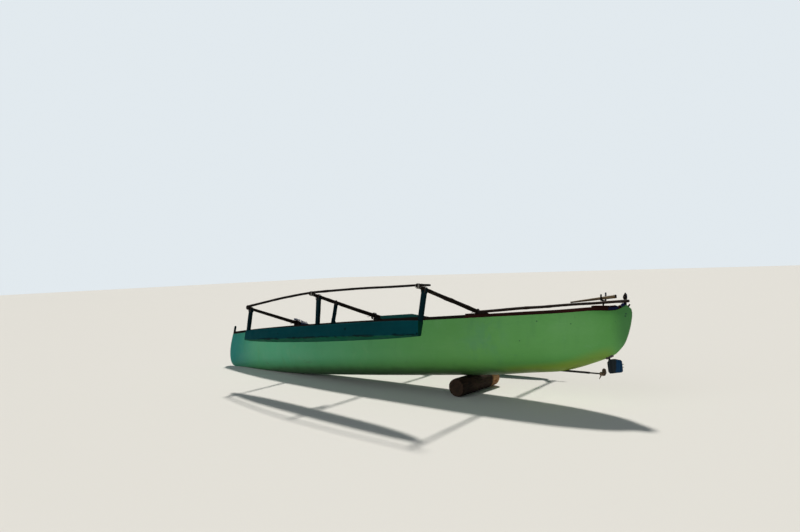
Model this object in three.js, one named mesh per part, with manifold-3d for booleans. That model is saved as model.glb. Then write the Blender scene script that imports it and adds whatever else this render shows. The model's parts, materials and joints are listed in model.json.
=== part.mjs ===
// Motor canoe with two outrigger floats, hauled up on a beach with a log under its keel.
// Millimetres. The boat is drawn upright in its own frame: X to the bow, Y to port, Z up from the
// keel amidships. It is then laid over as it rests, on its bow keel, its starboard float and the log.

import * as THREE from "three";
import { mergeVertices } from "three/addons/utils/BufferGeometryUtils.js";
import Module from "manifold-3d";

const wasm = await Module();
wasm.setup();

// How the boat lies
const HEEL = THREE.MathUtils.degToRad(16.02); // port side up
const PITCH = THREE.MathUtils.degToRad(3.86); // bow down

const GAP = 0.3; // left between pieces that rest on each other

// Hull: stations from bow to stern. A station runs from its keel point to its point on the rail's top.
const HULL_STATIONS = [
  // keelX, keelZ, railX, railZ, halfBeam, fullness
  [3306, 81, 3522, 690, 14, 2.0],
  [3190, 73, 3370, 687, 48, 1.7],
  [2950, 60, 3040, 684, 114, 1.75],
  [2350, 12, 2380, 680, 222, 1.9],
  [1500, -26, 1510, 677, 314, 2.2],
  [300, -24, 300, 675, 374, 2.4],
  [-900, -8, -900, 673, 390, 2.4],
  [-1850, 11, -1850, 673, 388, 2.4],
  [-2350, 38, -2480, 680, 355, 2.2],
  [-2660, 52, -2860, 693, 300, 2.1],
  [-2790, 62, -3190, 723, 205, 2.0],
  [-2840, 70, -3400, 745, 72, 1.9],
  [-2861, 74, -3492, 812, 14, 2.0],
].map(([keelX, keelZ, railX, railZ, halfBeam, fullness]) => ({
  keelX,
  keelZ,
  railX,
  railZ,
  halfBeam,
  fullness,
}));
const SECTIONS_PER_SPAN = 3;
const SECTION_STEPS = [0, 1, 2, 3, 4, 5, 6, 6.75, 7]; // keel to edge, in sevenths of a right angle
const STERN_PROFILE = [
  // share of the height, and how far aft the sternpost has run there
  [0, 0],
  [0.02, 0.06],
  [0.05, 0.21],
  [0.1, 0.39],
  [0.19, 0.68],
  [0.23, 0.785],
  [0.29, 0.864],
  [0.39, 0.956],
  [0.49, 1.006],
  [0.64, 1.056],
  [0.78, 1.084],
  [0.86, 1.092],
  [0.95, 1.07],
  [1, 1],
];
const STRAKE_THICKNESS = 22;
const BOTTOM_THICKNESS = 42;
const SEAM_Z = 250; // where the side strakes meet the carved bottom
const BOW_BLOCK_X = 2950;
const STERN_BLOCK_X = -3330;
const BOTTOM_JOINTS = [1950, 700, -550, -1750]; // where its lengths of timber meet
const BOTTOM_LENGTHS = ["bow", "fore", "mid", "aft", "stern"];
const PLANK_JOINTS = [1080, -1250]; // where the lengths of a strake or a rail meet
const PLANK_LENGTHS = ["fore", "mid", "aft"];
const RAIL_HEIGHT = 40;
const RAIL_WIDTH = 42;
const RAIL_OVERHANG = 6;
const ALL_SECTIONS = (HULL_STATIONS.length - 1) * SECTIONS_PER_SPAN;
const RAIL_SECTIONS = { first: 1, last: 34 };
const CAVITY = { from: 0.11, to: 0.9, wall: 200 }; // of the way along the stations, and open above the edge
const FAR = 5000; // past the hull on every side

// Posts at the ends
const BOW_POST = { x: 3505, width: 30, top: 795, shoulder: 20, taper: 4 };
const STERN_HEAD = { x: -3480, thickness: 26, foot: 700 };
const STERN_LEAF = [
  // from the head's middle line, and height
  [13, 700],
  [11, 826],
  [20, 848],
  [18, 870],
  [-4, 907],
  [-16, 888],
  [-19, 848],
  [-12, 826],
  [-13, 700],
];
const CROSSPIECE = { x: -3466, width: 36, halfLength: 42, foot: 752, top: 778 };
const POLE_REST = { x: -3472, width: 22, starboardY: -12, portY: 40 };
const STERN_DECK = { first: 30, last: 33, thickness: 16 };

// Booms across the hull, each with its height at the rails and at its tips
const BOOMS = {
  front: { x: 1518, tipY: 1230, tipZ: 766, rootZ: 726 },
  mid: { x: -77, tipY: 1477, tipZ: 811, rootZ: 770 },
  rear: { x: -1845, tipY: 1540, tipZ: 749, rootZ: 714 },
};
const BOOM_SAG = 4;
const BOOM_ROOT_RADIUS = 28;
const BOOM_TIP_RADIUS = 20;
// Saddles: a beam between the strakes, raised under the boom from one Y to another on each side
const SADDLES = { front: [222, 300], mid: [0, 225] };
const SADDLE_WIDTH = 60;
const RAIL_BAR = { front: -1690, back: -2000, width: 38, top: 688 };

// Floats: a port float from bow to stern, mirrored for starboard
const FLOAT_STATIONS = [
  // x, centreY, half widths at the deck and at the chine, topZ, chineZ, keelZ
  [1566, 1150, 8, 8, 445, 328, 308],
  [1340, 1169, 48, 46, 438, 304, 286],
  [800, 1212, 92, 88, 429, 286, 256],
  [100, 1266, 108, 104, 420, 274, 234],
  [-600, 1321, 110, 105, 415, 264, 224],
  [-1200, 1368, 98, 92, 407, 253, 224],
  [-1600, 1406, 76, 66, 400, 246, 229],
  [-1852, 1436, 46, 26, 390, 240, 232],
].map(([x, centreY, deckHalf, chineHalf, topZ, chineZ, keelZ]) => ({
  x,
  centreY,
  deckHalf,
  chineHalf,
  topZ,
  chineZ,
  keelZ,
}));
const BILGE = { out: 0.55, up: 0.3 }; // the float's bottom between keel and chine, as shares
const POST_FOOT_Z = 365;
const POST_SHOULDER = 8; // the post's top stays this far under the boom's middle
const POST_WIDTH = { top: 58, foot: 50 };
const POST_THICKNESS = 42;
const POSTS = {
  front: { topY: 1152, footY: 1141, footAhead: 0 },
  mid: { topY: 1312, footY: 1264, footAhead: 0 },
  rear: { topY: 1408, footY: 1414, footAhead: 20 },
};
const CROOK = {
  topY: 999,
  kneeY: 1012,
  kneeZ: 570,
  elbowY: 1036,
  elbowZ: 455,
  footY: 1200,
  footZ: 366,
  radius: 26,
};

// Thin poles tied along the boom tips, thicker ahead: x, y and z
const TIP_POLE_RADIUS = { front: 17, back: 12 };
const TIP_POLE = [
  [1560, 1198, 785],
  [1518, 1205, 789],
  [927, 1312, 805],
  [380, 1392, 820],
  [-77, 1440, 825],
  [-828, 1490, 804],
  [-1525, 1515, 773],
  [-1845, 1521, 762],
  [-2010, 1526, 748],
];

// Fittings inside the hull
const SEATS = { bow: { x: 2150, z: 430 }, stern: { x: -2420, z: 430 } };
const SEAT_WIDTH = 200;
const SEAT_THICKNESS = 24;
const FLOORS = { fore: [150, 1500], aft: [-1650, -1000] };
const FLOOR_Z = 110;
const FLOOR_THICKNESS = 20;
const BEAM = { height: 46, drop: 4 }; // a beam between the strakes, just under the rails
const ENGINE = { front: -300, back: -850, halfWidth: 170, bottom: 200, top: 620 };
const ENGINE_BED = { front: -260, back: -920, inner: 90, outer: 150, tieZ: 150, tieWidth: 40 };
const COVER = { front: -195, knuckle: -750, back: -1035, halfWidth: 250, rise: 66, toe: 14, wall: 12, lap: 6 };
const COVER_BATTENS = { front: -270, back: -990, width: 44, height: 26, halfLength: 395 };

// Propeller shaft, falling aft through the bottom
const SHAFT_RADIUS = 8;
const SHAFT_MARGIN = 1; // from the engine's after face
const SHAFT_POINT = new THREE.Vector3(-2793, 0, 66);
const SHAFT_FALL = 0.07;
const SHAFT_END_X = -3266;
const TUBE = { front: -2150, back: -3090, radius: 11.5, bore: 8.6 };
const HUB = { x: -3236, radius: 21, length: 56, nose: 5, shoulder: 14 };
const BLADE = { root: 2, span: 95, chord: 62, thickness: 7, pitch: 28, clock: -36 };

// Rudder, hung on a stock through the stern
const STOCK = { x: -3307, radius: 10, top: 590, bottom: 60 };
const BEARING = { radius: 20, top: 380, foot: 212, bore: 10.6, plateWidth: 40 };
const BEARING_FLANGE = [
  [-3276, 190],
  [-3348, 222],
  [-3348, 254],
  [-3276, 222],
];
const RUDDER_THICKNESS = 12;
const RUDDER_OUTLINE = [
  [-3286, 158],
  [-3312, 190],
  [-3372, 194],
  [-3430, 182],
  [-3441, 170],
  [-3451, 66],
  [-3440, 54],
  [-3318, 39],
  [-3299, 58],
];
const TILLER = { length: 400, width: 34, thickness: 26, z: 560, boss: 24 };

// Poles stowed over the stern, and the forked stick that holds the short one
const LONG_POLE = { from: [-1880, 362, 705.4], to: [-3535, 26, 808], radius: 17 };
const SHORT_POLE = { startX: -2925, startRadius: 9, to: [-3392, 10, 871], endRadius: 21 };
const CRUTCH = { x: -3260, skew: 13, radius: 9, slack: 0.7, prongPort: 886, prongStarboard: 919 };

// Log that the keel rests on
const LOG = { x: -1470, portY: 190, starboardY: -680, radius: 115 };

const COLOURS = {
  hull: 0x4f9150,
  rail: 0x3a1712,
  pole: 0x241a14,
  float: 0x0a4650,
  teal: 0x1f5757,
  post: 0x163636,
  wood: 0x6b4a32,
  blue: 0x16264f,
  iron: 0x35332f,
  bronze: 0x8a6a3c,
  bamboo: 0x5a3d22,
  log: 0x4a2f1e,
};

const boat = new THREE.Group();
boat.rotation.set(HEEL, PITCH, 0, "YXZ");
const part = new THREE.Group();
part.add(boat);

// Solids

function toSolid(geometry) {
  const bare = geometry.clone();
  bare.deleteAttribute("normal");
  bare.deleteAttribute("uv");
  const merged = mergeVertices(bare, 1e-3);
  return new wasm.Manifold(
    new wasm.Mesh({
      numProp: 3,
      vertProperties: new Float32Array(merged.attributes.position.array),
      triVerts: new Uint32Array(merged.index.array),
    }),
  );
}

function toGeometry(solid) {
  const mesh = solid.getMesh();
  const geometry = new THREE.BufferGeometry();
  geometry.setAttribute("position", new THREE.BufferAttribute(new Float32Array(mesh.vertProperties), 3));
  geometry.setIndex(new THREE.BufferAttribute(new Uint32Array(mesh.triVerts), 1));
  geometry.computeVertexNormals();
  return geometry;
}

function place(name, solid, colour, roughness = 0.7, metalness = 0) {
  const material = new THREE.MeshStandardMaterial({ color: COLOURS[colour], roughness, metalness });
  const mesh = new THREE.Mesh(toGeometry(solid), material);
  mesh.name = name;
  boat.add(mesh);
}

function box(x0, x1, y0, y1, z0, z1) {
  const geometry = new THREE.BoxGeometry(Math.abs(x1 - x0), Math.abs(y1 - y0), Math.abs(z1 - z0));
  geometry.translate((x0 + x1) / 2, (y0 + y1) / 2, (z0 + z1) / 2);
  return toSolid(geometry);
}

// A block with a middle and a width along X
function slab({ x, width }, y0, y1, z0, z1) {
  return box(x - width / 2, x + width / 2, y0, y1, z0, z1);
}

// Joins rings of points, all of one length and wound one way, into a closed body
function loft(rings) {
  const count = rings[0].length;
  const positions = rings.flat().flatMap((point) => point.toArray());
  const faces = [];
  for (let ring = 0; ring + 1 < rings.length; ring += 1) {
    for (let i = 0; i < count; i += 1) {
      const a = ring * count + i;
      const b = ring * count + ((i + 1) % count);
      faces.push(a, b, a + count, b, b + count, a + count);
    }
  }
  // Each end is closed by a ladder of triangles between the ring's two halves
  const ends = [
    [0, (a, b, c) => [a, c, b]],
    [(rings.length - 1) * count, (a, b, c) => [a, b, c]],
  ];
  for (const [start, wind] of ends) {
    for (let i = 0, j = count - 1; i + 1 < j; i += 1, j -= 1) {
      faces.push(...wind(start + i, start + i + 1, start + j));
      if (i + 1 < j - 1) faces.push(...wind(start + i + 1, start + j - 1, start + j));
    }
  }
  const geometry = new THREE.BufferGeometry();
  geometry.setAttribute("position", new THREE.Float32BufferAttribute(positions, 3));
  geometry.setIndex(faces);
  const solid = toSolid(geometry);
  if (solid.volume() > 0) return solid;
  for (let i = 0; i < faces.length; i += 3) faces.splice(i, 3, faces[i], faces[i + 2], faces[i + 1]);
  geometry.setIndex(faces);
  return toSolid(geometry);
}

// A round pole along a smooth line through the points, its radius given at each share of the way
function pole(points, radiusAt, { sides = 10, steps = 12 } = {}) {
  const curve = new THREE.CatmullRomCurve3(points);
  const frames = curve.computeFrenetFrames(steps, false);
  const rings = [];
  for (let step = 0; step <= steps; step += 1) {
    const centre = curve.getPointAt(step / steps);
    const radius = radiusAt(step / steps);
    const ring = [];
    for (let side = 0; side < sides; side += 1) {
      const angle = (2 * Math.PI * side) / sides;
      const point = centre.clone();
      point.addScaledVector(frames.normals[step], radius * Math.cos(angle));
      point.addScaledVector(frames.binormals[step], radius * Math.sin(angle));
      ring.push(point);
    }
    rings.push(ring);
  }
  return loft(rings);
}

function rod(from, to, radius, sides = 16, endRadius = radius) {
  const length = from.distanceTo(to);
  const geometry = new THREE.CylinderGeometry(endRadius, radius, length, sides);
  geometry.applyQuaternion(
    new THREE.Quaternion().setFromUnitVectors(new THREE.Vector3(0, 1, 0), to.clone().sub(from).normalize()),
  );
  geometry.translate((from.x + to.x) / 2, (from.y + to.y) / 2, (from.z + to.z) / 2);
  return toSolid(geometry);
}

// An outline in the XZ plane, made thick across Y
function plate(outline, thickness) {
  const shape = new THREE.Shape(outline.map(([x, z]) => new THREE.Vector2(x, z)));
  const geometry = new THREE.ExtrudeGeometry(shape, { depth: thickness, bevelEnabled: false });
  geometry.rotateX(Math.PI / 2);
  geometry.translate(0, thickness / 2, 0);
  return toSolid(geometry);
}

// Hull shape

const columns = {};
for (const key of Object.keys(HULL_STATIONS[0])) {
  columns[key] = new THREE.SplineCurve(HULL_STATIONS.map((station, i) => new THREE.Vector2(i, station[key])));
}

function station(u) {
  const row = {};
  for (const key of Object.keys(columns)) row[key] = columns[key].getPoint(u).y;
  return row;
}

function stationAtRail(x) {
  const halvings = 40;
  let low = 0;
  let high = 1;
  for (let step = 0; step < halvings; step += 1) {
    const middle = (low + high) / 2;
    if (station(middle).railX > x) low = middle;
    else high = middle;
  }
  return station(low);
}

// How far a station has run from its keel point towards its rail point, at a share h of its height
function forefoot(h) {
  return (1 - (1 - h) ** 3) ** 0.43 + 0.1 * Math.sin(Math.PI * h);
}

function sternSweep(h) {
  const next = Math.max(1, STERN_PROFILE.findIndex(([height]) => height >= h));
  const [[h0, run0], [h1, run1]] = STERN_PROFILE.slice(next - 1, next + 1);
  return THREE.MathUtils.mapLinear(h, h0, h1, run0, run1);
}

// One station's ring: inset pulls the sides in, lift raises the keel, wall carries the sides up,
// and stretch makes the whole length a little longer
function hullRing(u, { inset = 0, lift = 0, wall = 0, stretch = 1 } = {}) {
  const { keelX, keelZ, railX, railZ, halfBeam, fullness } = station(u);
  const run = keelX > 0 ? forefoot : sternSweep;
  const bottom = keelZ + lift;
  const height = railZ - RAIL_HEIGHT - bottom;
  const side = [];
  for (const step of SECTION_STEPS) {
    const angle = (Math.PI / 2) * (step / SECTION_STEPS.at(-1));
    const h = 1 - Math.cos(angle) ** (2 / fullness);
    const y = Math.max(halfBeam - inset, 1) * Math.sin(angle) ** (2 / fullness);
    side.push(new THREE.Vector3((keelX + (railX - keelX) * run(h)) * stretch, y, bottom + height * h));
  }
  if (wall) side.push(side.at(-1).clone().add(new THREE.Vector3(0, 0, wall)));
  const mirrored = side.slice(1).map((point) => new THREE.Vector3(point.x, -point.y, point.z));
  return [...side.reverse(), ...mirrored];
}

function hullLoft(from, to, options) {
  const sections = Math.round((to - from) * (HULL_STATIONS.length - 1) * SECTIONS_PER_SPAN);
  const rings = [];
  for (let i = 0; i <= sections; i += 1) rings.push(hullRing(from + ((to - from) * i) / sections, options));
  return loft(rings);
}

function shaftPoint(x) {
  return new THREE.Vector3(x, 0, SHAFT_POINT.z + SHAFT_FALL * (x - SHAFT_POINT.x));
}

// Hull

// Saws a long timber across at its joints, and places its lengths from the bow aft
function placeLengths(name, lengthNames, joints, solid, colour) {
  const ends = [FAR, ...joints, -FAR];
  lengthNames.forEach((lengthName, i) => {
    const length = box(ends[i + 1] + GAP / 2, ends[i] - GAP / 2, -FAR, FAR, -FAR, FAR);
    place(`${name}_${lengthName}`, solid.intersect(length), colour);
  });
}

function makeHull(hull) {
  const half = GAP / 2;
  const bottom = box(-FAR, FAR, -FAR, FAR, -FAR, SEAM_Z - half);
  const bow = box(BOW_BLOCK_X + half, FAR, -FAR, FAR, SEAM_Z + half, FAR);
  const stern = box(-FAR, STERN_BLOCK_X - half, -FAR, FAR, SEAM_Z + half, FAR);
  const port = box(STERN_BLOCK_X + half, BOW_BLOCK_X - half, 0, FAR, SEAM_Z + half, FAR);
  const starboard = box(STERN_BLOCK_X + half, BOW_BLOCK_X - half, -FAR, 0, SEAM_Z + half, FAR);
  const tubeHole = rod(shaftPoint(TUBE.front), shaftPoint(TUBE.back), TUBE.radius + GAP, 24);
  const foot = new THREE.Vector3(STOCK.x, 0, 0);
  const head = new THREE.Vector3(STOCK.x, 0, STOCK.top);
  const shell = hull.subtract(cavity).subtract(tubeHole).subtract(rod(foot, head, BEARING.radius + GAP, 24));
  placeLengths("bottom", BOTTOM_LENGTHS, BOTTOM_JOINTS, shell.intersect(bottom), "hull");
  place("bow_block", shell.intersect(bow), "hull");
  place("stern_block", shell.intersect(stern), "hull");
  placeLengths("strake_port", PLANK_LENGTHS, PLANK_JOINTS, shell.intersect(port), "hull");
  placeLengths("strake_starboard", PLANK_LENGTHS, PLANK_JOINTS, shell.intersect(starboard), "hull");
}

function railRing(u, side) {
  const { railX, railZ, halfBeam } = station(u);
  const outer = halfBeam + RAIL_OVERHANG;
  const inner = Math.max(outer - RAIL_WIDTH, 1);
  const bottom = railZ - RAIL_HEIGHT + GAP;
  return [
    [inner, bottom],
    [outer, bottom],
    [outer, railZ],
    [inner, railZ],
  ].map(([y, z]) => new THREE.Vector3(railX, side * y, z));
}

function makeRail(name, side) {
  const { first, last } = RAIL_SECTIONS;
  const rings = [];
  for (let i = first; i <= last; i += 1) rings.push(railRing(i / ALL_SECTIONS, side));
  placeLengths(`rail_${name}`, PLANK_LENGTHS, PLANK_JOINTS, loft(rings), "rail");
}

function makeBowPost() {
  const { x, width, top, shoulder, taper } = BOW_POST;
  const foot = station(0).railZ - RAIL_HEIGHT + GAP;
  const ring = (z, reach) => [
    new THREE.Vector3(x - reach, -reach, z),
    new THREE.Vector3(x + reach, -reach, z),
    new THREE.Vector3(x + reach, reach, z),
    new THREE.Vector3(x - reach, reach, z),
  ];
  const half = width / 2;
  place("bow_post", loft([ring(foot, half), ring(top - shoulder, half), ring(top, half - taper)]), "post");
}

// A leaf-shaped head on the sternpost, with a crosspiece at its foot and a rest for the long pole
function makeSternHead() {
  const { x, thickness } = STERN_HEAD;
  const leaf = plate(
    STERN_LEAF.map(([ahead, z]) => [x + ahead, z]),
    thickness,
  );
  const { halfLength, foot, top } = CROSSPIECE;
  const crosspiece = slab(CROSSPIECE, -halfLength, halfLength, foot, top);
  const { starboardY, portY } = POLE_REST;
  const underPole = longPoleAt(POLE_REST.x + POLE_REST.width / 2).z - LONG_POLE.radius - 1.5 * GAP;
  const rest = slab(POLE_REST, starboardY, portY, foot, underPole);
  place("stern_head", leaf.add(crosspiece).add(rest).subtract(hullClear), "blue");
}

function makeSternDeck() {
  const rings = [];
  for (let i = STERN_DECK.first; i <= STERN_DECK.last; i += 1) {
    const { railX, railZ, halfBeam } = station(i / ALL_SECTIONS);
    const z = railZ + GAP;
    rings.push(
      [
        [-halfBeam, z],
        [halfBeam, z],
        [halfBeam, z + STERN_DECK.thickness],
        [-halfBeam, z + STERN_DECK.thickness],
      ].map(([y, height]) => new THREE.Vector3(railX, y, height)),
    );
  }
  place("stern_deck", loft(rings), "rail");
}

// Booms, and what carries and hangs from them

function boomAt({ x, tipY, tipZ, rootZ }, grow = 0) {
  const rootY = stationAtRail(x).halfBeam;
  const points = [
    [-tipY, tipZ],
    [-rootY, rootZ],
    [0, rootZ - BOOM_SAG],
    [rootY, rootZ],
    [tipY, tipZ],
  ].map(([y, z]) => new THREE.Vector3(x, y, z));
  const radiusAt = (share) => {
    const outward = Math.abs(2 * share - 1);
    return BOOM_ROOT_RADIUS + (BOOM_TIP_RADIUS - BOOM_ROOT_RADIUS) * outward + grow;
  };
  return pole(points, radiusAt, { sides: 12, steps: 12 });
}

function boomHeight({ x, tipY, tipZ, rootZ }, y) {
  const rootY = stationAtRail(x).halfBeam;
  return rootZ + ((tipZ - rootZ) * (Math.abs(y) - rootY)) / (tipY - rootY);
}

function tipPole(side, grow = 0) {
  const points = TIP_POLE.map(([x, y, z]) => new THREE.Vector3(x, side * y, z));
  const { front, back } = TIP_POLE_RADIUS;
  return pole(points, (share) => front + (back - front) * share + grow, { sides: 8, steps: 24 });
}

function makeBoom(name, boom) {
  const notched = boomAt(boom).subtract(tipPole(1, GAP)).subtract(tipPole(-1, GAP));
  place(`boom_${name}`, notched, "pole");
}

// A beam between the strakes, as high as the rails' undersides
function beamAt(x, width = SADDLE_WIDTH) {
  const top = stationAtRail(x).railZ - RAIL_HEIGHT - BEAM.drop;
  return fitInside(slab({ x, width }, -FAR, FAR, top - BEAM.height, top));
}

function makeSaddle(name, boom) {
  const [inner, outer] = SADDLES[name];
  const at = { x: boom.x, width: SADDLE_WIDTH };
  const { railZ } = stationAtRail(boom.x);
  const foot = railZ - RAIL_HEIGHT - BEAM.height;
  const narrowest = stationAtRail(boom.x + SADDLE_WIDTH / 2).halfBeam;
  const betweenRails = narrowest + RAIL_OVERHANG - RAIL_WIDTH - 2 * GAP;
  const block = (side) => {
    const low = slab(at, side * inner, side * Math.min(outer, betweenRails), foot, boom.rootZ);
    return low.add(slab(at, side * inner, side * outer, railZ + GAP, boom.rootZ));
  };
  const saddle = beamAt(boom.x).add(block(1)).add(block(-1));
  place(`saddle_${name}`, saddle.subtract(boomAt(boom, GAP)), "pole");
}

function makeRailBar(name, side) {
  const { railZ, halfBeam } = stationAtRail(RAIL_BAR.back);
  const middle = side * (halfBeam + RAIL_OVERHANG - RAIL_WIDTH / 2);
  const half = RAIL_BAR.width / 2;
  const block = box(RAIL_BAR.back, RAIL_BAR.front, middle - half, middle + half, railZ + GAP, RAIL_BAR.top);
  place(`rail_bar_${name}`, block.subtract(boomAt(BOOMS.rear, GAP)), "pole");
}

function floatAt(side, grow = 0) {
  const rows = {};
  for (const key of Object.keys(FLOAT_STATIONS[0])) {
    rows[key] = new THREE.SplineCurve(FLOAT_STATIONS.map((row, i) => new THREE.Vector2(i, row[key])));
  }
  const rings = [];
  const sections = (FLOAT_STATIONS.length - 1) * 2;
  for (let i = 0; i <= sections; i += 1) {
    const at = (key) => rows[key].getPoint(i / sections).y;
    const deck = at("deckHalf") + grow;
    const chine = at("chineHalf") + grow;
    const keel = at("keelZ") - grow;
    const bilge = keel + BILGE.up * (at("chineZ") - keel);
    rings.push(
      [
        [-deck, at("topZ") + grow],
        [-chine, at("chineZ")],
        [-BILGE.out * chine, bilge],
        [0, keel],
        [BILGE.out * chine, bilge],
        [chine, at("chineZ")],
        [deck, at("topZ") + grow],
      ].map(([offset, z]) => new THREE.Vector3(at("x"), side * (at("centreY") + offset), z)),
    );
  }
  return loft(rings);
}

function makePost(name, { topY, footY, footAhead }, sideName, side) {
  const boom = BOOMS[name];
  const { x } = boom;
  const top = boomHeight(boom, topY) - POST_SHOULDER;
  const corners = (middle, width, y, z) =>
    [
      [-1, -1],
      [1, -1],
      [1, 1],
      [-1, 1],
    ].map(([i, j]) => new THREE.Vector3(middle + (i * width) / 2, side * (y + (j * POST_THICKNESS) / 2), z));
  const post = loft([
    corners(x + footAhead, POST_WIDTH.foot, footY, POST_FOOT_Z),
    corners(x, POST_WIDTH.top, topY, top),
  ]);
  const cut = post.subtract(floatAt(side, GAP)).subtract(boomAt(boom, GAP));
  place(`post_${name}_${sideName}`, cut, "post");
}

// A crooked branch from the middle boom into the float's inner side
function makeCrook(sideName, side) {
  const { x } = BOOMS.mid;
  const points = [
    [CROOK.topY, boomHeight(BOOMS.mid, CROOK.topY) - POST_SHOULDER],
    [CROOK.kneeY, CROOK.kneeZ],
    [CROOK.elbowY, CROOK.elbowZ],
    [CROOK.footY, CROOK.footZ],
  ].map(([y, z]) => new THREE.Vector3(x, side * y, z));
  const branch = pole(points, () => CROOK.radius, { sides: 8, steps: 10 });
  const cut = branch.subtract(floatAt(side, GAP)).subtract(boomAt(BOOMS.mid, GAP));
  place(`post_crook_${sideName}`, cut, "post");
}

// Fittings inside the hull

function fitInside(solid) {
  return solid.intersect(fitting);
}

function makeSeat(name, { x, z }) {
  place(`seat_${name}`, fitInside(slab({ x, width: SEAT_WIDTH }, -FAR, FAR, z, z + SEAT_THICKNESS)), "wood");
}

function makeFloor(name, [back, front]) {
  place(`floor_${name}`, fitInside(box(back, front, -FAR, FAR, FLOOR_Z, FLOOR_Z + FLOOR_THICKNESS)), "wood");
}

function makeEngine() {
  const { front, back, inner, outer, tieZ, tieWidth } = ENGINE_BED;
  const bearer = (side) => box(back, front, side * inner, side * outer, 0, ENGINE.bottom - GAP);
  const tie = (from, to) => box(from, to, -outer, outer, 0, tieZ);
  const bed = bearer(1).add(bearer(-1)).add(tie(front - tieWidth, front)).add(tie(back, back + tieWidth));
  place("engine_bed", fitInside(bed), "wood");
  const block = box(ENGINE.back, ENGINE.front, -ENGINE.halfWidth, ENGINE.halfWidth, ENGINE.bottom, ENGINE.top);
  place("engine_block", block, "iron", 0.6, 0.4);
}

// A low hatch over the engine, on two battens across the rails, its aft end sloping down
function makeCover() {
  const base = stationAtRail(COVER_BATTENS.front).railZ + GAP;
  const lip = base + COVER_BATTENS.height - COVER.lap;
  const top = lip + COVER.rise;
  const profile = (inset) => [
    [COVER.front - inset, lip - inset],
    [COVER.front - inset, top - inset],
    [COVER.knuckle, top - inset],
    [COVER.back + inset, lip + COVER.toe],
    [COVER.back + inset, lip - inset],
  ];
  const shell = plate(profile(0), 2 * COVER.halfWidth).subtract(
    plate(profile(COVER.wall), 2 * (COVER.halfWidth - COVER.wall)),
  );
  const { width, halfLength, height } = COVER_BATTENS;
  const batten = (x) => slab({ x, width }, -halfLength, halfLength, base, base + height);
  place("engine_cover", shell.add(batten(COVER_BATTENS.front)).add(batten(COVER_BATTENS.back)), "teal");
}

// Propeller and rudder

function makeShaft() {
  const tube = rod(shaftPoint(TUBE.front), shaftPoint(TUBE.back), TUBE.radius, 24);
  const bore = rod(shaftPoint(ENGINE.back), shaftPoint(SHAFT_END_X), TUBE.bore, 24);
  place("stern_tube", tube.subtract(bore), "bronze", 0.5, 0.7);
  const shaft = rod(shaftPoint(ENGINE.back - SHAFT_MARGIN), shaftPoint(SHAFT_END_X), SHAFT_RADIUS, 16);
  place("propeller_shaft", shaft, "iron", 0.4, 0.8);
}

function makePropeller() {
  const aim = (geometry) => {
    geometry.rotateY(-Math.atan(SHAFT_FALL));
    geometry.translate(...shaftPoint(HUB.x).toArray());
    return toSolid(geometry);
  };
  const halfHub = HUB.length / 2;
  const bore = SHAFT_RADIUS + GAP;
  const profile = [
    [bore, -halfHub],
    [HUB.radius - HUB.nose, -halfHub],
    [HUB.radius, -halfHub + HUB.shoulder],
    [HUB.radius, halfHub],
    [bore, halfHub],
    [bore, -halfHub],
  ].map(([radius, along]) => new THREE.Vector2(radius, along));
  const hub = new THREE.LatheGeometry(profile, 24);
  hub.rotateZ(-Math.PI / 2);
  let propeller = aim(hub);
  const root = bore + BLADE.root;
  for (const turn of [0, Math.PI]) {
    const outline = new THREE.Shape();
    outline.absellipse(0, (root + BLADE.span) / 2, BLADE.chord / 2, (BLADE.span - root) / 2, 0, 2 * Math.PI);
    const depth = BLADE.thickness;
    const blade = new THREE.ExtrudeGeometry(outline, { depth, bevelEnabled: false, curveSegments: 10 });
    blade.translate(0, 0, -depth / 2);
    blade.rotateY(Math.PI / 2 - THREE.MathUtils.degToRad(BLADE.pitch));
    blade.rotateX(THREE.MathUtils.degToRad(BLADE.clock) + turn);
    propeller = propeller.add(aim(blade));
  }
  place("propeller", propeller, "bronze", 0.4, 0.8);
}

function makeRudder() {
  const at = (z) => new THREE.Vector3(STOCK.x, 0, z);
  const whole = (radius, sides) => rod(at(0), at(STOCK.top + TILLER.width), radius, sides);
  const blade = plate(RUDDER_OUTLINE, RUDDER_THICKNESS);
  place("rudder", blade.add(rod(at(STOCK.bottom), at(STOCK.top), STOCK.radius, 16)), "blue", 0.6, 0.2);
  const { length, width, thickness, z, boss } = TILLER;
  const arm = box(STOCK.x, STOCK.x + length, -width / 2, width / 2, z - thickness / 2, z + thickness / 2);
  const collar = rod(at(z - thickness), at(z + thickness / 2), boss, 20);
  place("tiller", arm.add(collar).subtract(whole(STOCK.radius + GAP, 16)), "wood");
  const tube = rod(at(BEARING.foot), at(BEARING.top), BEARING.radius, 24);
  const flange = plate(BEARING_FLANGE, BEARING.plateWidth).subtract(hullClear);
  place("rudder_bearing", tube.add(flange).subtract(whole(BEARING.bore, 24)), "iron", 0.5, 0.6);
}

// Poles stowed over the stern

function longPoleAt(x) {
  const from = new THREE.Vector3(...LONG_POLE.from);
  const to = new THREE.Vector3(...LONG_POLE.to);
  return from.clone().lerp(to, (x - from.x) / (to.x - from.x));
}

function makeStowedPoles() {
  const from = longPoleAt(LONG_POLE.from[0]);
  const to = longPoleAt(LONG_POLE.to[0]);
  place("pole_stowed_long", rod(from, to, LONG_POLE.radius, 12), "pole");
  const { startX, startRadius, endRadius } = SHORT_POLE;
  const start = longPoleAt(startX);
  start.z += LONG_POLE.radius + startRadius + 2 * GAP;
  const end = new THREE.Vector3(...SHORT_POLE.to);
  place("pole_stowed_short", rod(start, end, startRadius, 12, endRadius), "bamboo");
  makeCrutch(start, end);
}

// How far along a way two crossing sticks must part to keep a distance between their middle lines
function parting(along, other, way, distance) {
  return distance / Math.abs(along.clone().cross(other).normalize().dot(way));
}

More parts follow.
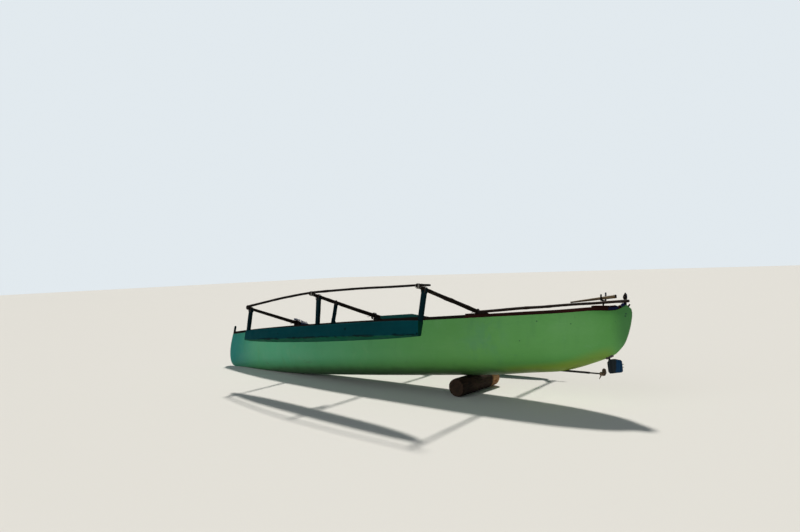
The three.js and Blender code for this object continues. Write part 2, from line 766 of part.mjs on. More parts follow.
// A forked stick on the stern deck, its prongs on both sides of the short pole
function makeCrutch(start, end) {
  const { x, skew, radius, slack, prongPort, prongStarboard } = CRUTCH;
  const along = end.clone().sub(start);
  const left = new THREE.Vector3(0, 1, 0);
  const up = new THREE.Vector3(0, 0, 1);
  const poleAt = (atX) => {
    const share = (atX - start.x) / along.x;
    const poleRadius = SHORT_POLE.startRadius + (SHORT_POLE.endRadius - SHORT_POLE.startRadius) * share;
    return { middle: start.clone().lerp(end, share), reach: poleRadius + radius + slack };
  };
  const prongAt = (side) => {
    const { middle, reach } = poleAt(x + side * skew);
    return middle.addScaledVector(left, side * parting(along, up, left, reach));
  };
  const at = (point, z) => new THREE.Vector3(point.x, point.y, z);
  const [port, starboard] = [prongAt(1), prongAt(-1)];
  const { middle, reach } = poleAt(x);
  const armZ = middle.z - parting(along, at(port, 0).sub(at(starboard, 0)), up, reach);
  const foot = stationAtRail(x - radius).railZ + STERN_DECK.thickness + slack;
  const crutch = rod(at(middle, foot), at(middle, armZ), radius, 10)
    .add(rod(at(port, armZ), at(starboard, armZ), radius, 10))
    .add(rod(at(port, armZ - radius / 2), at(port, prongPort), radius, 10))
    .add(rod(at(starboard, armZ - radius / 2), at(starboard, prongStarboard), radius, 10));
  place("crutch", crutch, "pole");
}

// The log lies level on the ground, so it is drawn there and carried into the boat's frame
function makeLog() {
  boat.updateMatrixWorld(true);
  const keel = new THREE.Vector3(LOG.x, 0, 0).applyMatrix4(boat.matrixWorld);
  const port = new THREE.Vector3(keel.x, LOG.portY, LOG.radius);
  const starboard = new THREE.Vector3(keel.x, LOG.starboardY, LOG.radius);
  const toBoat = boat.matrixWorld.clone().invert();
  const log = rod(port.applyMatrix4(toBoat), starboard.applyMatrix4(toBoat), LOG.radius, 28);
  place("log", log.subtract(hullClear), "log", 0.9);
}

function lowest(solid) {
  const position = toGeometry(solid).applyMatrix4(boat.matrixWorld).getAttribute("position");
  let z = Infinity;
  for (let i = 0; i < position.count; i += 1) z = Math.min(z, position.getZ(i));
  return z;
}

const hullOutside = hullLoft(0, 1, {});
const hullClear = hullLoft(0, 1, { inset: -GAP, lift: -GAP, wall: 2 * GAP, stretch: 1 + GAP / BOW_POST.x });
const [cavity, fitting] = [0, GAP].map((gap) => {
  const { from, to, wall } = CAVITY;
  return hullLoft(from, to, { inset: STRAKE_THICKNESS + gap, lift: BOTTOM_THICKNESS + gap, wall });
});

boat.updateMatrixWorld(true);
boat.position.z = -Math.min(lowest(hullOutside), lowest(floatAt(-1)));

makeHull(hullOutside);
makeBowPost();
makeSternHead();
makeSternDeck();
for (const [name, boom] of Object.entries(BOOMS)) makeBoom(name, boom);
makeSaddle("front", BOOMS.front);
makeSaddle("mid", BOOMS.mid);
place("beam_rear", beamAt(BOOMS.rear.x), "wood");
for (const [name, seat] of Object.entries(SEATS)) makeSeat(name, seat);
for (const [name, floor] of Object.entries(FLOORS)) makeFloor(name, floor);
makeEngine();
makeCover();
makeShaft();
makePropeller();
makeRudder();
makeStowedPoles();
makeLog();
for (const [sideName, side] of Object.entries({ port: 1, starboard: -1 })) {
  makeRail(sideName, side);
  makeRailBar(sideName, side);
  place(`float_${sideName}`, floatAt(side), "float");
  for (const [name, post] of Object.entries(POSTS)) makePost(name, post, sideName, side);
  makeCrook(sideName, side);
  place(`tip_pole_${sideName}`, tipPole(side), "pole");
}

// The origin goes under the middle of everything, on the ground
const middle = new THREE.Box3().setFromObject(part, true).getCenter(new THREE.Vector3());
boat.position.x -= middle.x;
boat.position.y -= middle.y;

export default part;
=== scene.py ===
# A small motor canoe with two outrigger floats, lying heeled on one of them, with a log under its keel.
# Metres. Most pieces are drawn in the boat's own frame, as the solids are: X to the bow, Y to port,
# Z up from the keel amidships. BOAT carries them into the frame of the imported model.

import json
import math
import random

import bmesh
import bpy
from mathutils import Matrix, Vector, noise


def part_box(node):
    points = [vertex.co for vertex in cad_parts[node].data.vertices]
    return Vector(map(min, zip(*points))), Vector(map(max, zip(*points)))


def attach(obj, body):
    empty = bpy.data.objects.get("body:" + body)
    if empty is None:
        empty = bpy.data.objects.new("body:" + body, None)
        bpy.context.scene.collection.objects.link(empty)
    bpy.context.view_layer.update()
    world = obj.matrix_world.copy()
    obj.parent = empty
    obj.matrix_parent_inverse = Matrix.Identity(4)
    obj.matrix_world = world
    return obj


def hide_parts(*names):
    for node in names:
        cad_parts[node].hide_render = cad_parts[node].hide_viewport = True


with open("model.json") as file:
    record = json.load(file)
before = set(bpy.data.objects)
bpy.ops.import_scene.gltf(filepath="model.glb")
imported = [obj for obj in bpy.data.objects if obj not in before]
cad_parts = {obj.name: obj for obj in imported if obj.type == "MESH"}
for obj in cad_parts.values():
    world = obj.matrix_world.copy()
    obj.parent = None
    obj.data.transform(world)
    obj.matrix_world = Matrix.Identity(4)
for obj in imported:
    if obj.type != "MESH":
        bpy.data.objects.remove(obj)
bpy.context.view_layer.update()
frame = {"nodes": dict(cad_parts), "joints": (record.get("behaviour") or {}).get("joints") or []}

SIDES = {"port": 1, "starboard": -1}
UP = Vector((0, 0, 1))

# Camera and lights in the boat's frame. The angles are degrees from the bow, above level and about the view
CAMERA_AT = Vector((-5.797, 6.416, -0.712))
CAMERA_HEADING = -49.168
CAMERA_RISE = 14.83
CAMERA_ROLL = 5.231
CAMERA_LENS = 27.444
LIGHT_TRAVEL = Vector((-0.249, 0.258, -0.933))
FILL_TRAVEL = Vector((-0.10, -0.99, 0.04))

# Hull stations from bow to stern: keel X and Z, rail X and Z, half beam and fullness of the section
HULL_STATIONS = [
    (3.306, 0.081, 3.522, 0.690, 0.014, 2.0),
    (3.190, 0.073, 3.370, 0.687, 0.048, 1.7),
    (2.950, 0.060, 3.040, 0.684, 0.114, 1.75),
    (2.350, 0.012, 2.380, 0.680, 0.222, 1.9),
    (1.500, -0.026, 1.510, 0.677, 0.314, 2.2),
    (0.300, -0.024, 0.300, 0.675, 0.374, 2.4),
    (-0.900, -0.008, -0.900, 0.673, 0.390, 2.4),
    (-1.850, 0.011, -1.850, 0.673, 0.388, 2.4),
    (-2.350, 0.038, -2.480, 0.680, 0.355, 2.2),
    (-2.660, 0.052, -2.860, 0.693, 0.300, 2.1),
    (-2.790, 0.062, -3.190, 0.723, 0.205, 2.0),
    (-2.840, 0.070, -3.400, 0.745, 0.072, 1.9),
    (-2.861, 0.074, -3.492, 0.812, 0.014, 2.0),
]
# Share of the height, and how far aft the sternpost has run there
STERN_PROFILE = [
    (0, 0), (0.02, 0.06), (0.05, 0.21), (0.1, 0.39), (0.19, 0.68), (0.23, 0.785), (0.29, 0.864),
    (0.39, 0.956), (0.49, 1.006), (0.64, 1.056), (0.78, 1.084), (0.86, 1.092), (0.95, 1.07), (1, 1),
]
# Dark specks low on the paint near the stern: X, Z and size
HULL_SPECKS = [
    (-2.62, 0.566, 0.011), (-2.99, 0.536, 0.009), (-2.41, 0.354, 0.010), (-3.502, 0.667, 0.012),
    (-3.497, 0.641, 0.011),
]

# The shell, with its cavity as shares of the hull's length
STRAKE_THICKNESS = 0.022
BOTTOM_THICKNESS = 0.042
CAVITY = (0.11, 0.9)
SEAM_Z = 0.25
BOW_BLOCK_X = 2.95
STERN_BLOCK_X = -3.33
BOTTOM_LENGTHS = ("bow", "fore", "mid", "aft", "stern")
SIDE_LENGTHS = ("fore", "mid", "aft")

# Rails and what stands at the stern. Spans are shares of the hull's length, and the patch is from X to X
RAIL_HEIGHT = 0.04
RAIL_WIDTH = 0.042
RAIL_OVERHANG = 0.006
RAIL_SPAN = (1 / 36, 34 / 36)
# The rails are near black ahead of this X: partly their own dark colour, partly painted shade
RAIL_DARK_FROM_X = -1.70
BLUE_PATCH = (-3.425, -3.345)
DECK_SPAN = (30 / 36, 33 / 36)
DECK_LIFT = 0.0083
DECK_THICKNESS = 0.016
STERN_HEAD_DARK = (0.800, 0.846)
STERN_PEG = [(-3.505, 0, 0.752), (-3.520, 0, 0.762), (-3.529, 0, 0.778)]

# Booms: X, tip Y and Z, height at the rails. Radii are a boom's at the middle and tips, a pole's at its ends
BOOMS = {
    "front": (1.518, 1.230, 0.766, 0.726),
    "mid": (-0.077, 1.477, 0.811, 0.770),
    "rear": (-1.845, 1.540, 0.749, 0.714),
}
BOOM_SAG = 0.004
BOOM_RADIUS = (0.028, 0.020)
TIP_POLE_RADIUS = (0.017, 0.012)
TIP_POLE = [
    (1.560, 1.198, 0.785),
    (1.518, 1.205, 0.789),
    (0.927, 1.312, 0.805),
    (0.380, 1.392, 0.820),
    (-0.077, 1.440, 0.825),
    (-0.828, 1.490, 0.804),
    (-1.525, 1.515, 0.773),
    (-1.845, 1.521, 0.762),
    (-2.010, 1.526, 0.748),
]

# Posts at the booms: Y at the top and at the foot, and how far ahead the foot stands. Width at foot and top
POSTS = {"front": (1.152, 1.141, 0.0), "mid": (1.312, 1.264, 0.0), "rear": (1.408, 1.414, 0.020)}
POST_WIDTH = (0.050, 0.058)
POST_THICKNESS = 0.042
POST_FOOT_Z = 0.365

# The crooked branch, from the middle boom's own height down, and its cut side stem: Y and Z
CROOK = [(0.999, None), (1.012, 0.570), (1.036, 0.455), (1.200, 0.366)]
CROOK_RADIUS = 0.026
CROOK_STUB = [(1.016, 0.560), (0.975, 0.520), (0.935, 0.440)]

# Float stations from bow to stern: X, centre Y, half widths at deck and chine, heights of top, chine and keel
FLOAT_STATIONS = [
    (1.566, 1.150, 0.008, 0.008, 0.445, 0.328, 0.308),
    (1.340, 1.169, 0.048, 0.046, 0.438, 0.304, 0.286),
    (0.800, 1.212, 0.092, 0.088, 0.429, 0.286, 0.256),
    (0.100, 1.266, 0.108, 0.104, 0.420, 0.274, 0.234),
    (-0.600, 1.321, 0.110, 0.105, 0.415, 0.264, 0.224),
    (-1.200, 1.368, 0.098, 0.092, 0.407, 0.253, 0.224),
    (-1.600, 1.406, 0.076, 0.066, 0.400, 0.246, 0.229),
    (-1.852, 1.436, 0.046, 0.026, 0.390, 0.240, 0.232),
]
# Knots and marks on a float's outer side: X, Z and size
FLOAT_KNOTS = [(-0.741, 0.345, 0.020), (-1.835, 0.256, 0.015), (0.62, 0.350, 0.010)]

# Gaps between the boards of the floors, as Y, and of the seats, as X
FLOOR_GAPS = [-0.132, -0.045, 0.041, 0.130]
SEAT_GAPS = {"bow": [2.158], "stern": [-2.412]}

# Drive and steering. The shaft leaves the hull at SHAFT_EXIT, as X and Z, and falls aft. The hub's profile is
# X and radius, the pitch and the blades' turn are degrees
SHAFT_FALL = 0.07
SHAFT_EXIT = (-2.793, 0.066)
SHAFT_RADIUS = 0.008
SHAFT_ENDS = (-0.851, -3.266)
TUBE_ENDS = (-2.150, -3.090)
TUBE_RADIUS = (0.0115, 0.0086)
HUB_X = -3.236
HUB_BORE = 0.0084
HUB_PROFILE = [(-0.028, 0.015), (-0.022, 0.019), (-0.012, 0.021), (0.020, 0.0205), (0.028, 0.018)]
BLADE_SPAN = (0.014, 0.095)
BLADE_CHORD = 0.062
BLADE_THICKNESS = 0.0068
BLADE_CAMBER = 0.0015
BLADE_PITCH = 28
BLADE_CLOCK = -36
STOCK_X = -3.307
STOCK_FOOT = 0.060
RUDDER_PEG_X = (-3.436, -3.459)
RUDDER_PEG_Z = (0.140, 0.110)
RUDDER_PEG_RADIUS = 0.0042

# Poles stowed over the stern. The short one lies on the long one, with a dark end
LONG_POLE = (Vector((-1.880, 0.362, 0.7054)), Vector((-3.535, 0.026, 0.808)))
LONG_POLE_RADIUS = 0.017
LONG_POLE_BOW = 0.006
SHORT_POLE_START_X = -2.925
SHORT_POLE_END = Vector((-3.392, 0.010, 0.871))
SHORT_POLE_RADIUS = (0.009, 0.021)
SHORT_POLE_DARK_END = 0.012
CRUTCH_X = -3.260
CRUTCH_GREY_Z = 0.85

# Ropes, as radii, and the windings of each lashing: half height, half width and turns. A tip's height is its
# boom's and thin pole's together
THIN_CORD = 0.0022
ROOT_CORD = 0.003
BLUE_ROPE = 0.0036
TIP_WINDING = (0.030, 3.6)
POST_WINDING = (0.040, 0.036, 3.5)
CROOK_WINDING = (0.040, 0.034, 4.0)
ROOT_WINDING = (0.044, 0.037, 5.5)
ROOT_WINDING_REAR = (0.036, 0.040, 3.5)

# How far inside the rails the root lashings lie, and their loose ends
ROOT_LASHINGS = {"front": (0.040, 2), "mid": (0.135, 4), "rear": (0.040, 2)}

# The blue rope on the front boom: from Y to Y, its turns, how tight and how slack they are, and its bights
BLUE_SPAN = (0.070, 0.214)
BLUE_TURNS = 9
BLUE_TIGHT = 0.0335
BLUE_SLACK = 0.030
BLUE_BIGHTS = 6


# The boat's frame, from the rudder's hinge: its axis is the boat's up, and it passes the stock's foot


def boat_frame():
    stock = next(joint for joint in frame["joints"] if joint["name"] == "rudder_turn")
    up = Vector(stock["axis"]).normalized()
    pitch = math.atan2(up.x, up.z)
    heel = -math.asin(up.y)
    turn = Matrix.Rotation(pitch, 4, "Y") @ Matrix.Rotation(heel, 4, "X")
    foot = Vector((STOCK_X, 0, STOCK_FOOT))
    return Matrix.Translation(Vector(stock["pos_m"]) - turn @ foot) @ turn


BOAT = boat_frame()


# Curves


def mix(pair, share):
    return pair[0] + (pair[1] - pair[0]) * share


def cubic(start, end, leave, arrive, t):
    """The smooth curve from start to end that leaves and arrives with the given slopes."""
    third = 2 * start - 2 * end + leave + arrive
    second = -3 * start + 3 * end - 2 * leave - arrive
    return third * t**3 + second * t**2 + leave * t + start


def eased(values, share):
    """A smooth curve through evenly spaced values, at a share of the way along them."""
    last = len(values) - 1
    place = min(max(share, 0.0), 1.0) * last
    i = min(int(place), last - 1)
    before, start, end, after = values[max(i - 1, 0)], values[i], values[i + 1], values[min(i + 2, last)]
    return cubic(start, end, (end - before) / 2, (after - start) / 2, place - i)


def eased_rows(rows, share):
    """The values of a table at a share of the way down it, column by column."""
    return [eased(column, share) for column in zip(*rows)]


def line_through(points, count):
    """Evenly spaced points on a smooth line through the given ones, its bends as tight as theirs."""
    points = [Vector(p) for p in points]
    ends = [2 * points[0] - points[1], *points, 2 * points[-1] - points[-2]]
    fine = []
    for i in range(len(points) - 1):
        a, b, c, d = ends[i : i + 4]
        gaps = [math.sqrt((q - p).length) for p, q in ((a, b), (b, c), (c, d))]
        leave = ((b - a) / gaps[0] - (c - a) / (gaps[0] + gaps[1]) + (c - b) / gaps[1]) * gaps[1]
        arrive = ((c - b) / gaps[1] - (d - b) / (gaps[1] + gaps[2]) + (d - c) / gaps[2]) * gaps[1]
        fine += [cubic(b, c, leave, arrive, step / 40) for step in range(40)]
    fine.append(points[-1])
    return spaced(fine, count)


def spaced(fine, count):
    """Evenly spaced points along a line of many short lengths."""
    runs = [0.0]
    for p, q in zip(fine, fine[1:]):
        runs.append(runs[-1] + (q - p).length)
    found, i = [], 0
    for step in range(count):
        want = runs[-1] * step / (count - 1)
        while i < len(runs) - 2 and runs[i + 1] < want:
            i += 1
        share = (want - runs[i]) / max(runs[i + 1] - runs[i], 1e-9)
        found.append(fine[i].lerp(fine[i + 1], share))
    return found


def straight(start, end, count):
    return [start.lerp(end, i / (count - 1)) for i in range(count)]


def rounded_box(half_width, half_height, corner, steps=3):
    """The outline of a rectangle with round corners, centred, as pairs."""
    outline = []
    for quarter, (i, j) in enumerate([(1, 1), (-1, 1), (-1, -1), (1, -1)]):
        for step in range(steps + 1):
            angle = math.pi / 2 * (quarter + step / steps)
            x = i * (half_width - corner) + corner * math.cos(angle)
            outline.append((x, j * (half_height - corner) + corner * math.sin(angle)))
    return outline


def ripple(*place):
    """Smooth noise from -1 to 1."""
    return noise.noise(Vector(place))


# Bodies


def skin(rings, grain=None):
    """Joins rings of points into a closed body: its points, its faces and where its grain runs."""
    count = len(rings[0])
    points = [p for ring in rings for p in ring]
    faces = [tuple(range(count))[::-1]]
    for r in range(len(rings) - 1):
        for i in range(count):
            a, b = r * count + i, r * count + (i + 1) % count
            faces.append((a, b, b + count, a + count))
    faces.append(tuple(range(len(points) - count, len(points))))
    return points, faces, grain


def tube(line, radius, sides=20, seed=0.0, up=Vector((0.31, 0.17, 0.94))):
    """A round body along a line, which its grain follows. radius(share, angle, along) gives its surface."""
    rings, grain = [], []
    across = up
    along = 0.0
    for i, centre in enumerate(line):
        if i:
            along += (centre - line[i - 1]).length
        ahead = (line[min(i + 1, len(line) - 1)] - line[max(i - 1, 0)]).normalized()
        across = (across - ahead * across.dot(ahead)).normalized()
        third = ahead.cross(across)
        ring = []
        for k in range(sides):
            angle = 2 * math.pi * k / sides
            r = radius(i / (len(line) - 1), angle, along)
            ring.append(centre + (across * math.cos(angle) + third * math.sin(angle)) * r)
            grain.append(Vector((along + 7.3 * seed, r * math.cos(angle), r * math.sin(angle) + seed)))
        rings.append(ring)
    return solid(*skin(rings, grain))


def swept(section, count):
    """A body through a number of sections. section(share) gives one's points and their grain."""
    rings, grain = [], []
    for i in range(count):
        ring, runs = section(i / (count - 1))
        rings.append(ring)
        grain += runs
    return solid(*skin(rings, grain))


def revolved(profile, sides):
    """A body turned about the X axis from a closed profile of X and radius."""
    angles = [2 * math.pi * k / sides for k in range(sides)]
    points = [Vector((x, r * math.cos(angle), r * math.sin(angle))) for x, r in profile for angle in angles]
    faces = []
    for r in range(len(profile)):
        a, b = r * sides, (r + 1) % len(profile) * sides
        for k in range(sides):
            after = (k + 1) % sides
            faces.append((a + k, a + after, b + after, b + k))
    return solid(points, faces)


def solid(points, faces, grain=None):
    bm = bmesh.new()
    layer = bm.verts.layers.float_vector.new("grain")
    verts = [bm.verts.new(p) for p in points]
    for face in faces:
        bm.faces.new([verts[i] for i in face])
    for vert, value in zip(verts, grain or ()):
        vert[layer] = value
    bmesh.ops.recalc_face_normals(bm, faces=bm.faces)
    return bm


def copy_of(node):
    """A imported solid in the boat's frame, with its flat faces whole again."""
    bm = bmesh.new()
    bm.from_mesh(frame["nodes"][node].data)
    bm.transform(BOAT.inverted())
    bmesh.ops.remove_doubles(bm, verts=bm.verts, dist=3e-5)
    bmesh.ops.dissolve_limit(bm, angle_limit=math.radians(1.5), verts=bm.verts, edges=bm.edges)
    return bm


def joined(bodies):
    """Several bodies as one."""
    whole = bmesh.new()
    for body in bodies:
        mesh = bpy.data.meshes.new("part")
        body.to_mesh(mesh)
        body.free()
        whole.from_mesh(mesh)
        bpy.data.meshes.remove(mesh)
    return whole


def soften(bm, width, segments=2, angle=35):
    """Rounds the sharp edges."""
    edges = [e for e in bm.edges if len(e.link_faces) == 2 and e.calc_face_angle(0) > math.radians(angle)]
    bmesh.ops.bevel(
        bm, geom=edges, offset=width, offset_type="OFFSET", segments=segments, profile=0.5,
        affect="EDGES", clamp_overlap=True,
    )
    return bm


def keep_below(bm, point, normal):
    """Cuts away what lies past a plane, and closes the cut with the third look."""
    everything = bm.verts[:] + bm.edges[:] + bm.faces[:]
    bmesh.ops.bisect_plane(bm, geom=everything, plane_co=point, plane_no=normal, clear_outer=True, dist=1e-6)
    open_edges = [e for e in bm.edges if e.is_boundary]
    if open_edges:
        made = bmesh.ops.triangle_fill(bm, use_beauty=True, edges=open_edges, normal=normal)
        for face in made["geom"]:
            if isinstance(face, bmesh.types.BMFace):
                face.material_index = 2
    return bm


def boards(node, gaps_at, axis, width=0.004):
    """A flat solid split into boards with gaps across one axis."""
    bodies = []
    edges = [-9.0, *gaps_at, 9.0]
    normal = Vector([1.0 if i == axis else 0.0 for i in range(3)])
    for low, high in zip(edges, edges[1:]):
        bm = copy_of(node)
        keep_below(bm, normal * (high - width / 2), normal)
        keep_below(bm, normal * (low + width / 2), -normal)
        bodies.append(soften(bm, 0.0025))
    return choose_looks(joined(bodies), lambda face, spot: 0)


def set_grain(bm, order="xyz", seed=0.0):
    """Stores where the grain runs: the first letter is the axis that it follows."""
    layer = bm.verts.layers.float_vector.get("grain") or bm.verts.layers.float_vector.new("grain")
    axes = ["xyz".index(letter) for letter in order]
    for vert in bm.verts:
        vert[layer] = Vector([vert.co[axis] for axis in axes]) + Vector((3.7, 1.9, 1.1)) * seed
    return bm


def choose_looks(bm, rule):
    """Gives each face the number of its look. rule(face, spot) gets the face and its middle."""
    for face in bm.faces:
        face.material_index = int(rule(face, face.calc_center_median()))
    return bm


def piece(name, bm, looks, slot=None, body="root", nodes=(), smooth=38, matrix=BOAT):
    """Makes a bmesh an object of the boat that rides on a body and stands for its nodes."""
    layer = bm.verts.layers.float_vector.new("drawn_at")
    for vert in bm.verts:
        vert[layer] = vert.co
    bm.transform(matrix)
    mesh = bpy.data.meshes.new(name)
    bm.normal_update()
    bm.to_mesh(mesh)
    bm.free()
    for look in looks if isinstance(looks, list) else [looks]:
        mesh.materials.append(look)
    mesh.shade_smooth()
    mesh.set_sharp_from_angle(angle=math.radians(smooth))
    obj = bpy.data.objects.new(name, mesh)
    bpy.context.scene.collection.objects.link(obj)
    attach(obj, body)
    if nodes:
        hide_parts(*nodes)


def stand_in(node, suffix, bm, looks, slot, body="root", **settings):
    """The piece that stands for one node, and is named after it."""
    piece(f"{node}_{suffix}", bm, looks, slot, body, [node], **settings)


def dressed(node, suffix, looks, slot, edge, order="xyz", seed=0.0, body="root", rule=None):
    """A node's own solid under its looks. edge is the width, segments and least angle of its rounding."""
    bm = soften(copy_of(node), *edge)
    if rule:
        choose_looks(bm, rule)
    stand_in(node, suffix, set_grain(bm, order, seed), looks, slot, body)


# Looks


class Field:
    """A value or a colour over a surface, given by a node of a look."""

    def __init__(self, look, socket):
        self.look = look
        self.socket = socket

    def __mul__(self, other):
        return self.look.add("ShaderNodeMath", {0: self, 1: other}, operation="MULTIPLY")

    def __add__(self, other):
        return self.look.add("ShaderNodeMath", {0: self, 1: other}, operation="ADD")

    def __sub__(self, number):
        return self + -number

    def axis(self, letter):
        return self.look.add("ShaderNodeSeparateXYZ", {"Vector": self}, letter)

    def noise(self, scale, detail=5.0, rough=0.55, bend=0.0):
        inputs = {"Vector": self, "Scale": scale, "Detail": detail, "Roughness": rough, "Distortion": bend}
        return self.look.add("ShaderNodeTexNoise", inputs)

    def waves(self, scale, bend, detail, fine=1.0, **settings):
        inputs = {"Vector": self, "Scale": scale, "Distortion": bend, "Detail": detail, "Detail Scale": fine}
        return self.look.add("ShaderNodeTexWave", inputs, **settings)

    def dots(self, scale):
        return self.look.add("ShaderNodeTexVoronoi", {"Vector": self, "Scale": scale}, "Distance")

    def near(self, point, reach, core):
        """One at a point, and none past a reach from it."""
        far = self.look.add("ShaderNodeVectorMath", {0: self, 1: point}, "Value", operation="DISTANCE")
        return far.fall(reach * core, reach)

    def band(self, low, high, start=0.0, end=1.0):
        """The value spread from low to high over start to end."""
        inputs = {"Value": self, "From Min": low, "From Max": high, "To Min": start, "To Max": end}
        return self.look.add("ShaderNodeMapRange", inputs, interpolation_type="SMOOTHSTEP")

    def fall(self, low, high):
        """One up to the low value, and none from the high one."""
        return self.band(low, high, 1.0, 0.0)

    def blend(self, a, b):
        """The colour a where this is none, and b where it is one."""
        a, b = ((*colour, 1.0) if isinstance(colour, tuple) else colour for colour in (a, b))
        return self.look.add("ShaderNodeMix", {0: self, 6: a, 7: b}, 2, data_type="RGBA")

    def under(self, *layers):
        """This colour with shades laid over it in turn: where each lies, how strongly, and the shade."""
        colour = self
        for share, amount, shade in layers:
            colour = (share * amount).blend(colour, shade)
        return colour

    def bump(self, distance, strength, under=None):
        inputs = {"Height": self, "Distance": distance, "Strength": strength}
        if under:
            inputs["Normal"] = under
        return self.look.add("ShaderNodeBump", inputs)


class Look:
    """A material, with its nodes added one by one."""

    def __init__(self, name, roughness=0.6, specular=0.4, metallic=0.0):
        self.material = bpy.data.materials.new(name)
        self.material.use_nodes = True
        self.tree = self.material.node_tree
        self.shader = self.tree.nodes["Principled BSDF"]
        self.shader.inputs["Roughness"].default_value = roughness
        self.shader.inputs["Specular IOR Level"].default_value = specular
        self.shader.inputs["Metallic"].default_value = metallic

    def add(self, kind, inputs, output=0, **settings):
        """A node's output. Each input is a number, a colour or a field."""
        node = self.tree.nodes.new(kind)
        for key, value in settings.items():
            setattr(node, key, value)
        for key, value in inputs.items():
            if isinstance(value, Field):
                self.tree.links.new(value.socket, node.inputs[key])
            else:
                node.inputs[key].default_value = value
        return Field(self, node.outputs[output])

    def stored(self, name, *stretch):
        """A vector that the mesh's points carry, stretched along each axis."""
        spot = self.add("ShaderNodeAttribute", {}, "Vector", attribute_name=name)
        return self.add("ShaderNodeMapping", {"Vector": spot, "Scale": stretch}) if stretch else spot

    def place(self, *stretch):
        """Where a point is in the frame that it was drawn in."""
        return self.stored("drawn_at", *stretch)

    def grain(self, along=1.0, across=1.0):
        return self.stored("grain", along, across, across)

    def marks(self, colour, rows, core, amount, shade):
        """Marks on the boat's side, from a table of X, Z and size."""
        side = self.place(1.0, 0.0, 1.0)
        return colour.under(*((side.near((x, 0, z), size, core), amount, shade) for x, z, size in rows))

    def finish(self, colour, roughness=None, normal=None):
        for key, value in (("Base Color", colour), ("Roughness", roughness), ("Normal", normal)):
            if isinstance(value, Field):
                self.tree.links.new(value.socket, self.shader.inputs[key])
            elif value is not None:
                self.shader.inputs[key].default_value = (*value, 1.0) if key == "Base Color" else value
        return self.material

    def finish_paint(self, colour, chips, roughness):
        """Ends a coat of thick paint, with its brush marks, and its chips sunk in."""
        rough = self.grain().noise(9.0).band(0.3, 0.7, *roughness)
        brush = self.grain(1.2, 20.0).noise(3.0, 6.0).bump(0.0012, 0.5)
        return self.finish(colour, rough, (chips * -1.0).bump(0.0006, 0.8, brush))


def darker(colour, share):
    return tuple(share * part for part in colour)


def hull_look():
    """Sun-bleached green paint with specks, drips and stains. Painted reflection makes it bluer to the bow
    and amidships, painted shade darkens its ends and bilge, painted bounce light yellows it low aft.
    """
    look = Look("hull_green", specular=0.3)
    spot = look.place()
    x, z = spot.axis("X"), spot.axis("Z")
    green = spot.noise(1.3, 4.0).band(0.35, 0.7).blend((0.104, 0.345, 0.074), (0.12, 0.368, 0.088))
    streaks = look.place(7.0, 7.0, 0.8).noise(1.0, 6.0, 0.62).band(0.5, 0.78)
    blots = spot.noise(4.6, 7.0, 0.66).band(0.56, 0.74)
    scuffs = look.place(2.2, 5.0, 9.0).noise(2.1, 9.0, 0.7, 0.4).band(0.6, 0.7)
    worn = scuffs * (z.fall(0.12, 0.34) * 0.5 + 0.08)
    # A bluish patch amidships, mottled: a painted reflection
    painted_sheen = spot.near((-1.92, 0.36, 0.38), 0.48, 0.15) * spot.noise(5.0, 6.0, 0.7).band(0.36, 0.66)
    drips = (z + look.place(6.0, 6.0, 1.0).noise(1.0) * -0.05).band(0.592, 0.63) * x.band(-2.8, -2.4)
    # The bottom aft and the rising stern, where painted bounce light from the floor is laid
    bilge = (z + x * 0.09).fall(-0.17, -0.09) * x.band(-1.9, -2.3)
    rising = (z + x * 0.34).fall(-0.9, -0.79) * (x.band(-2.72, -2.84) * x.band(-3.42, -3.28))
    grime = (z + spot.noise(5.0, 6.0) * 0.06).fall(0.03, 0.12)
    specks = spot.dots(7.5).fall(0.03, 0.045) * spot.noise(2.4, 2.0).band(0.5, 0.56)
    green = green.under(
        # Painted reflection: bluer from amidships to the bow
        (x.band(-1.9, 2.2), 0.8, (0.06, 0.365, 0.21)),
        # Painted shade and reflection: darker and bluer at the bow's end, where the hull turns away from the
        # light
        (x.band(2.45, 3.42), 1.0, (0.002, 0.205, 0.17)),
        # Painted shade: darker at the stern
        (x.band(-3.34, -3.5), 0.72, (0.048, 0.17, 0.052)),
        (streaks, 0.26, (0.062, 0.228, 0.07)),
        (blots, 0.28, (0.165, 0.38, 0.16)),
        (worn, 1.0, (0.075, 0.17, 0.105)),
        # Painted reflection: the bluish patch amidships
        (painted_sheen, 0.38, (0.085, 0.275, 0.15)),
        (drips, 0.3, (0.06, 0.15, 0.042)),
        # Painted shade, tinted yellow by painted bounce light: darker towards the keel
        (z.fall(0.01, 0.21), 0.52, (0.07, 0.17, 0.024)),
        # Painted bounce light: yellow on the bottom aft and on the rising stern
        (bilge, 0.75, (0.23, 0.32, 0.02)),
        (rising, 0.62, (0.23, 0.33, 0.03)),
        (grime, 0.7, (0.03, 0.055, 0.022)),
    )
    green = look.marks(green, HULL_SPECKS, 0.5, 0.8, (0.02, 0.055, 0.035))
    green = green.under((specks, 0.6, (0.04, 0.1, 0.05)))
    rough = spot.noise(3.5, 6.0, 0.6).band(0.3, 0.75, 0.42, 0.64)
    waves = look.place(0.7, 2.0, 3.0).noise(1.6, 2.0).bump(0.02, 0.45)
    brush = look.place(2.0, 30.0, 30.0).noise(3.0, 5.0, 0.6).bump(0.0012, 0.5, waves)
    return look.finish(green, rough, spot.noise(60.0, 4.0).bump(0.0004, 0.5, brush))


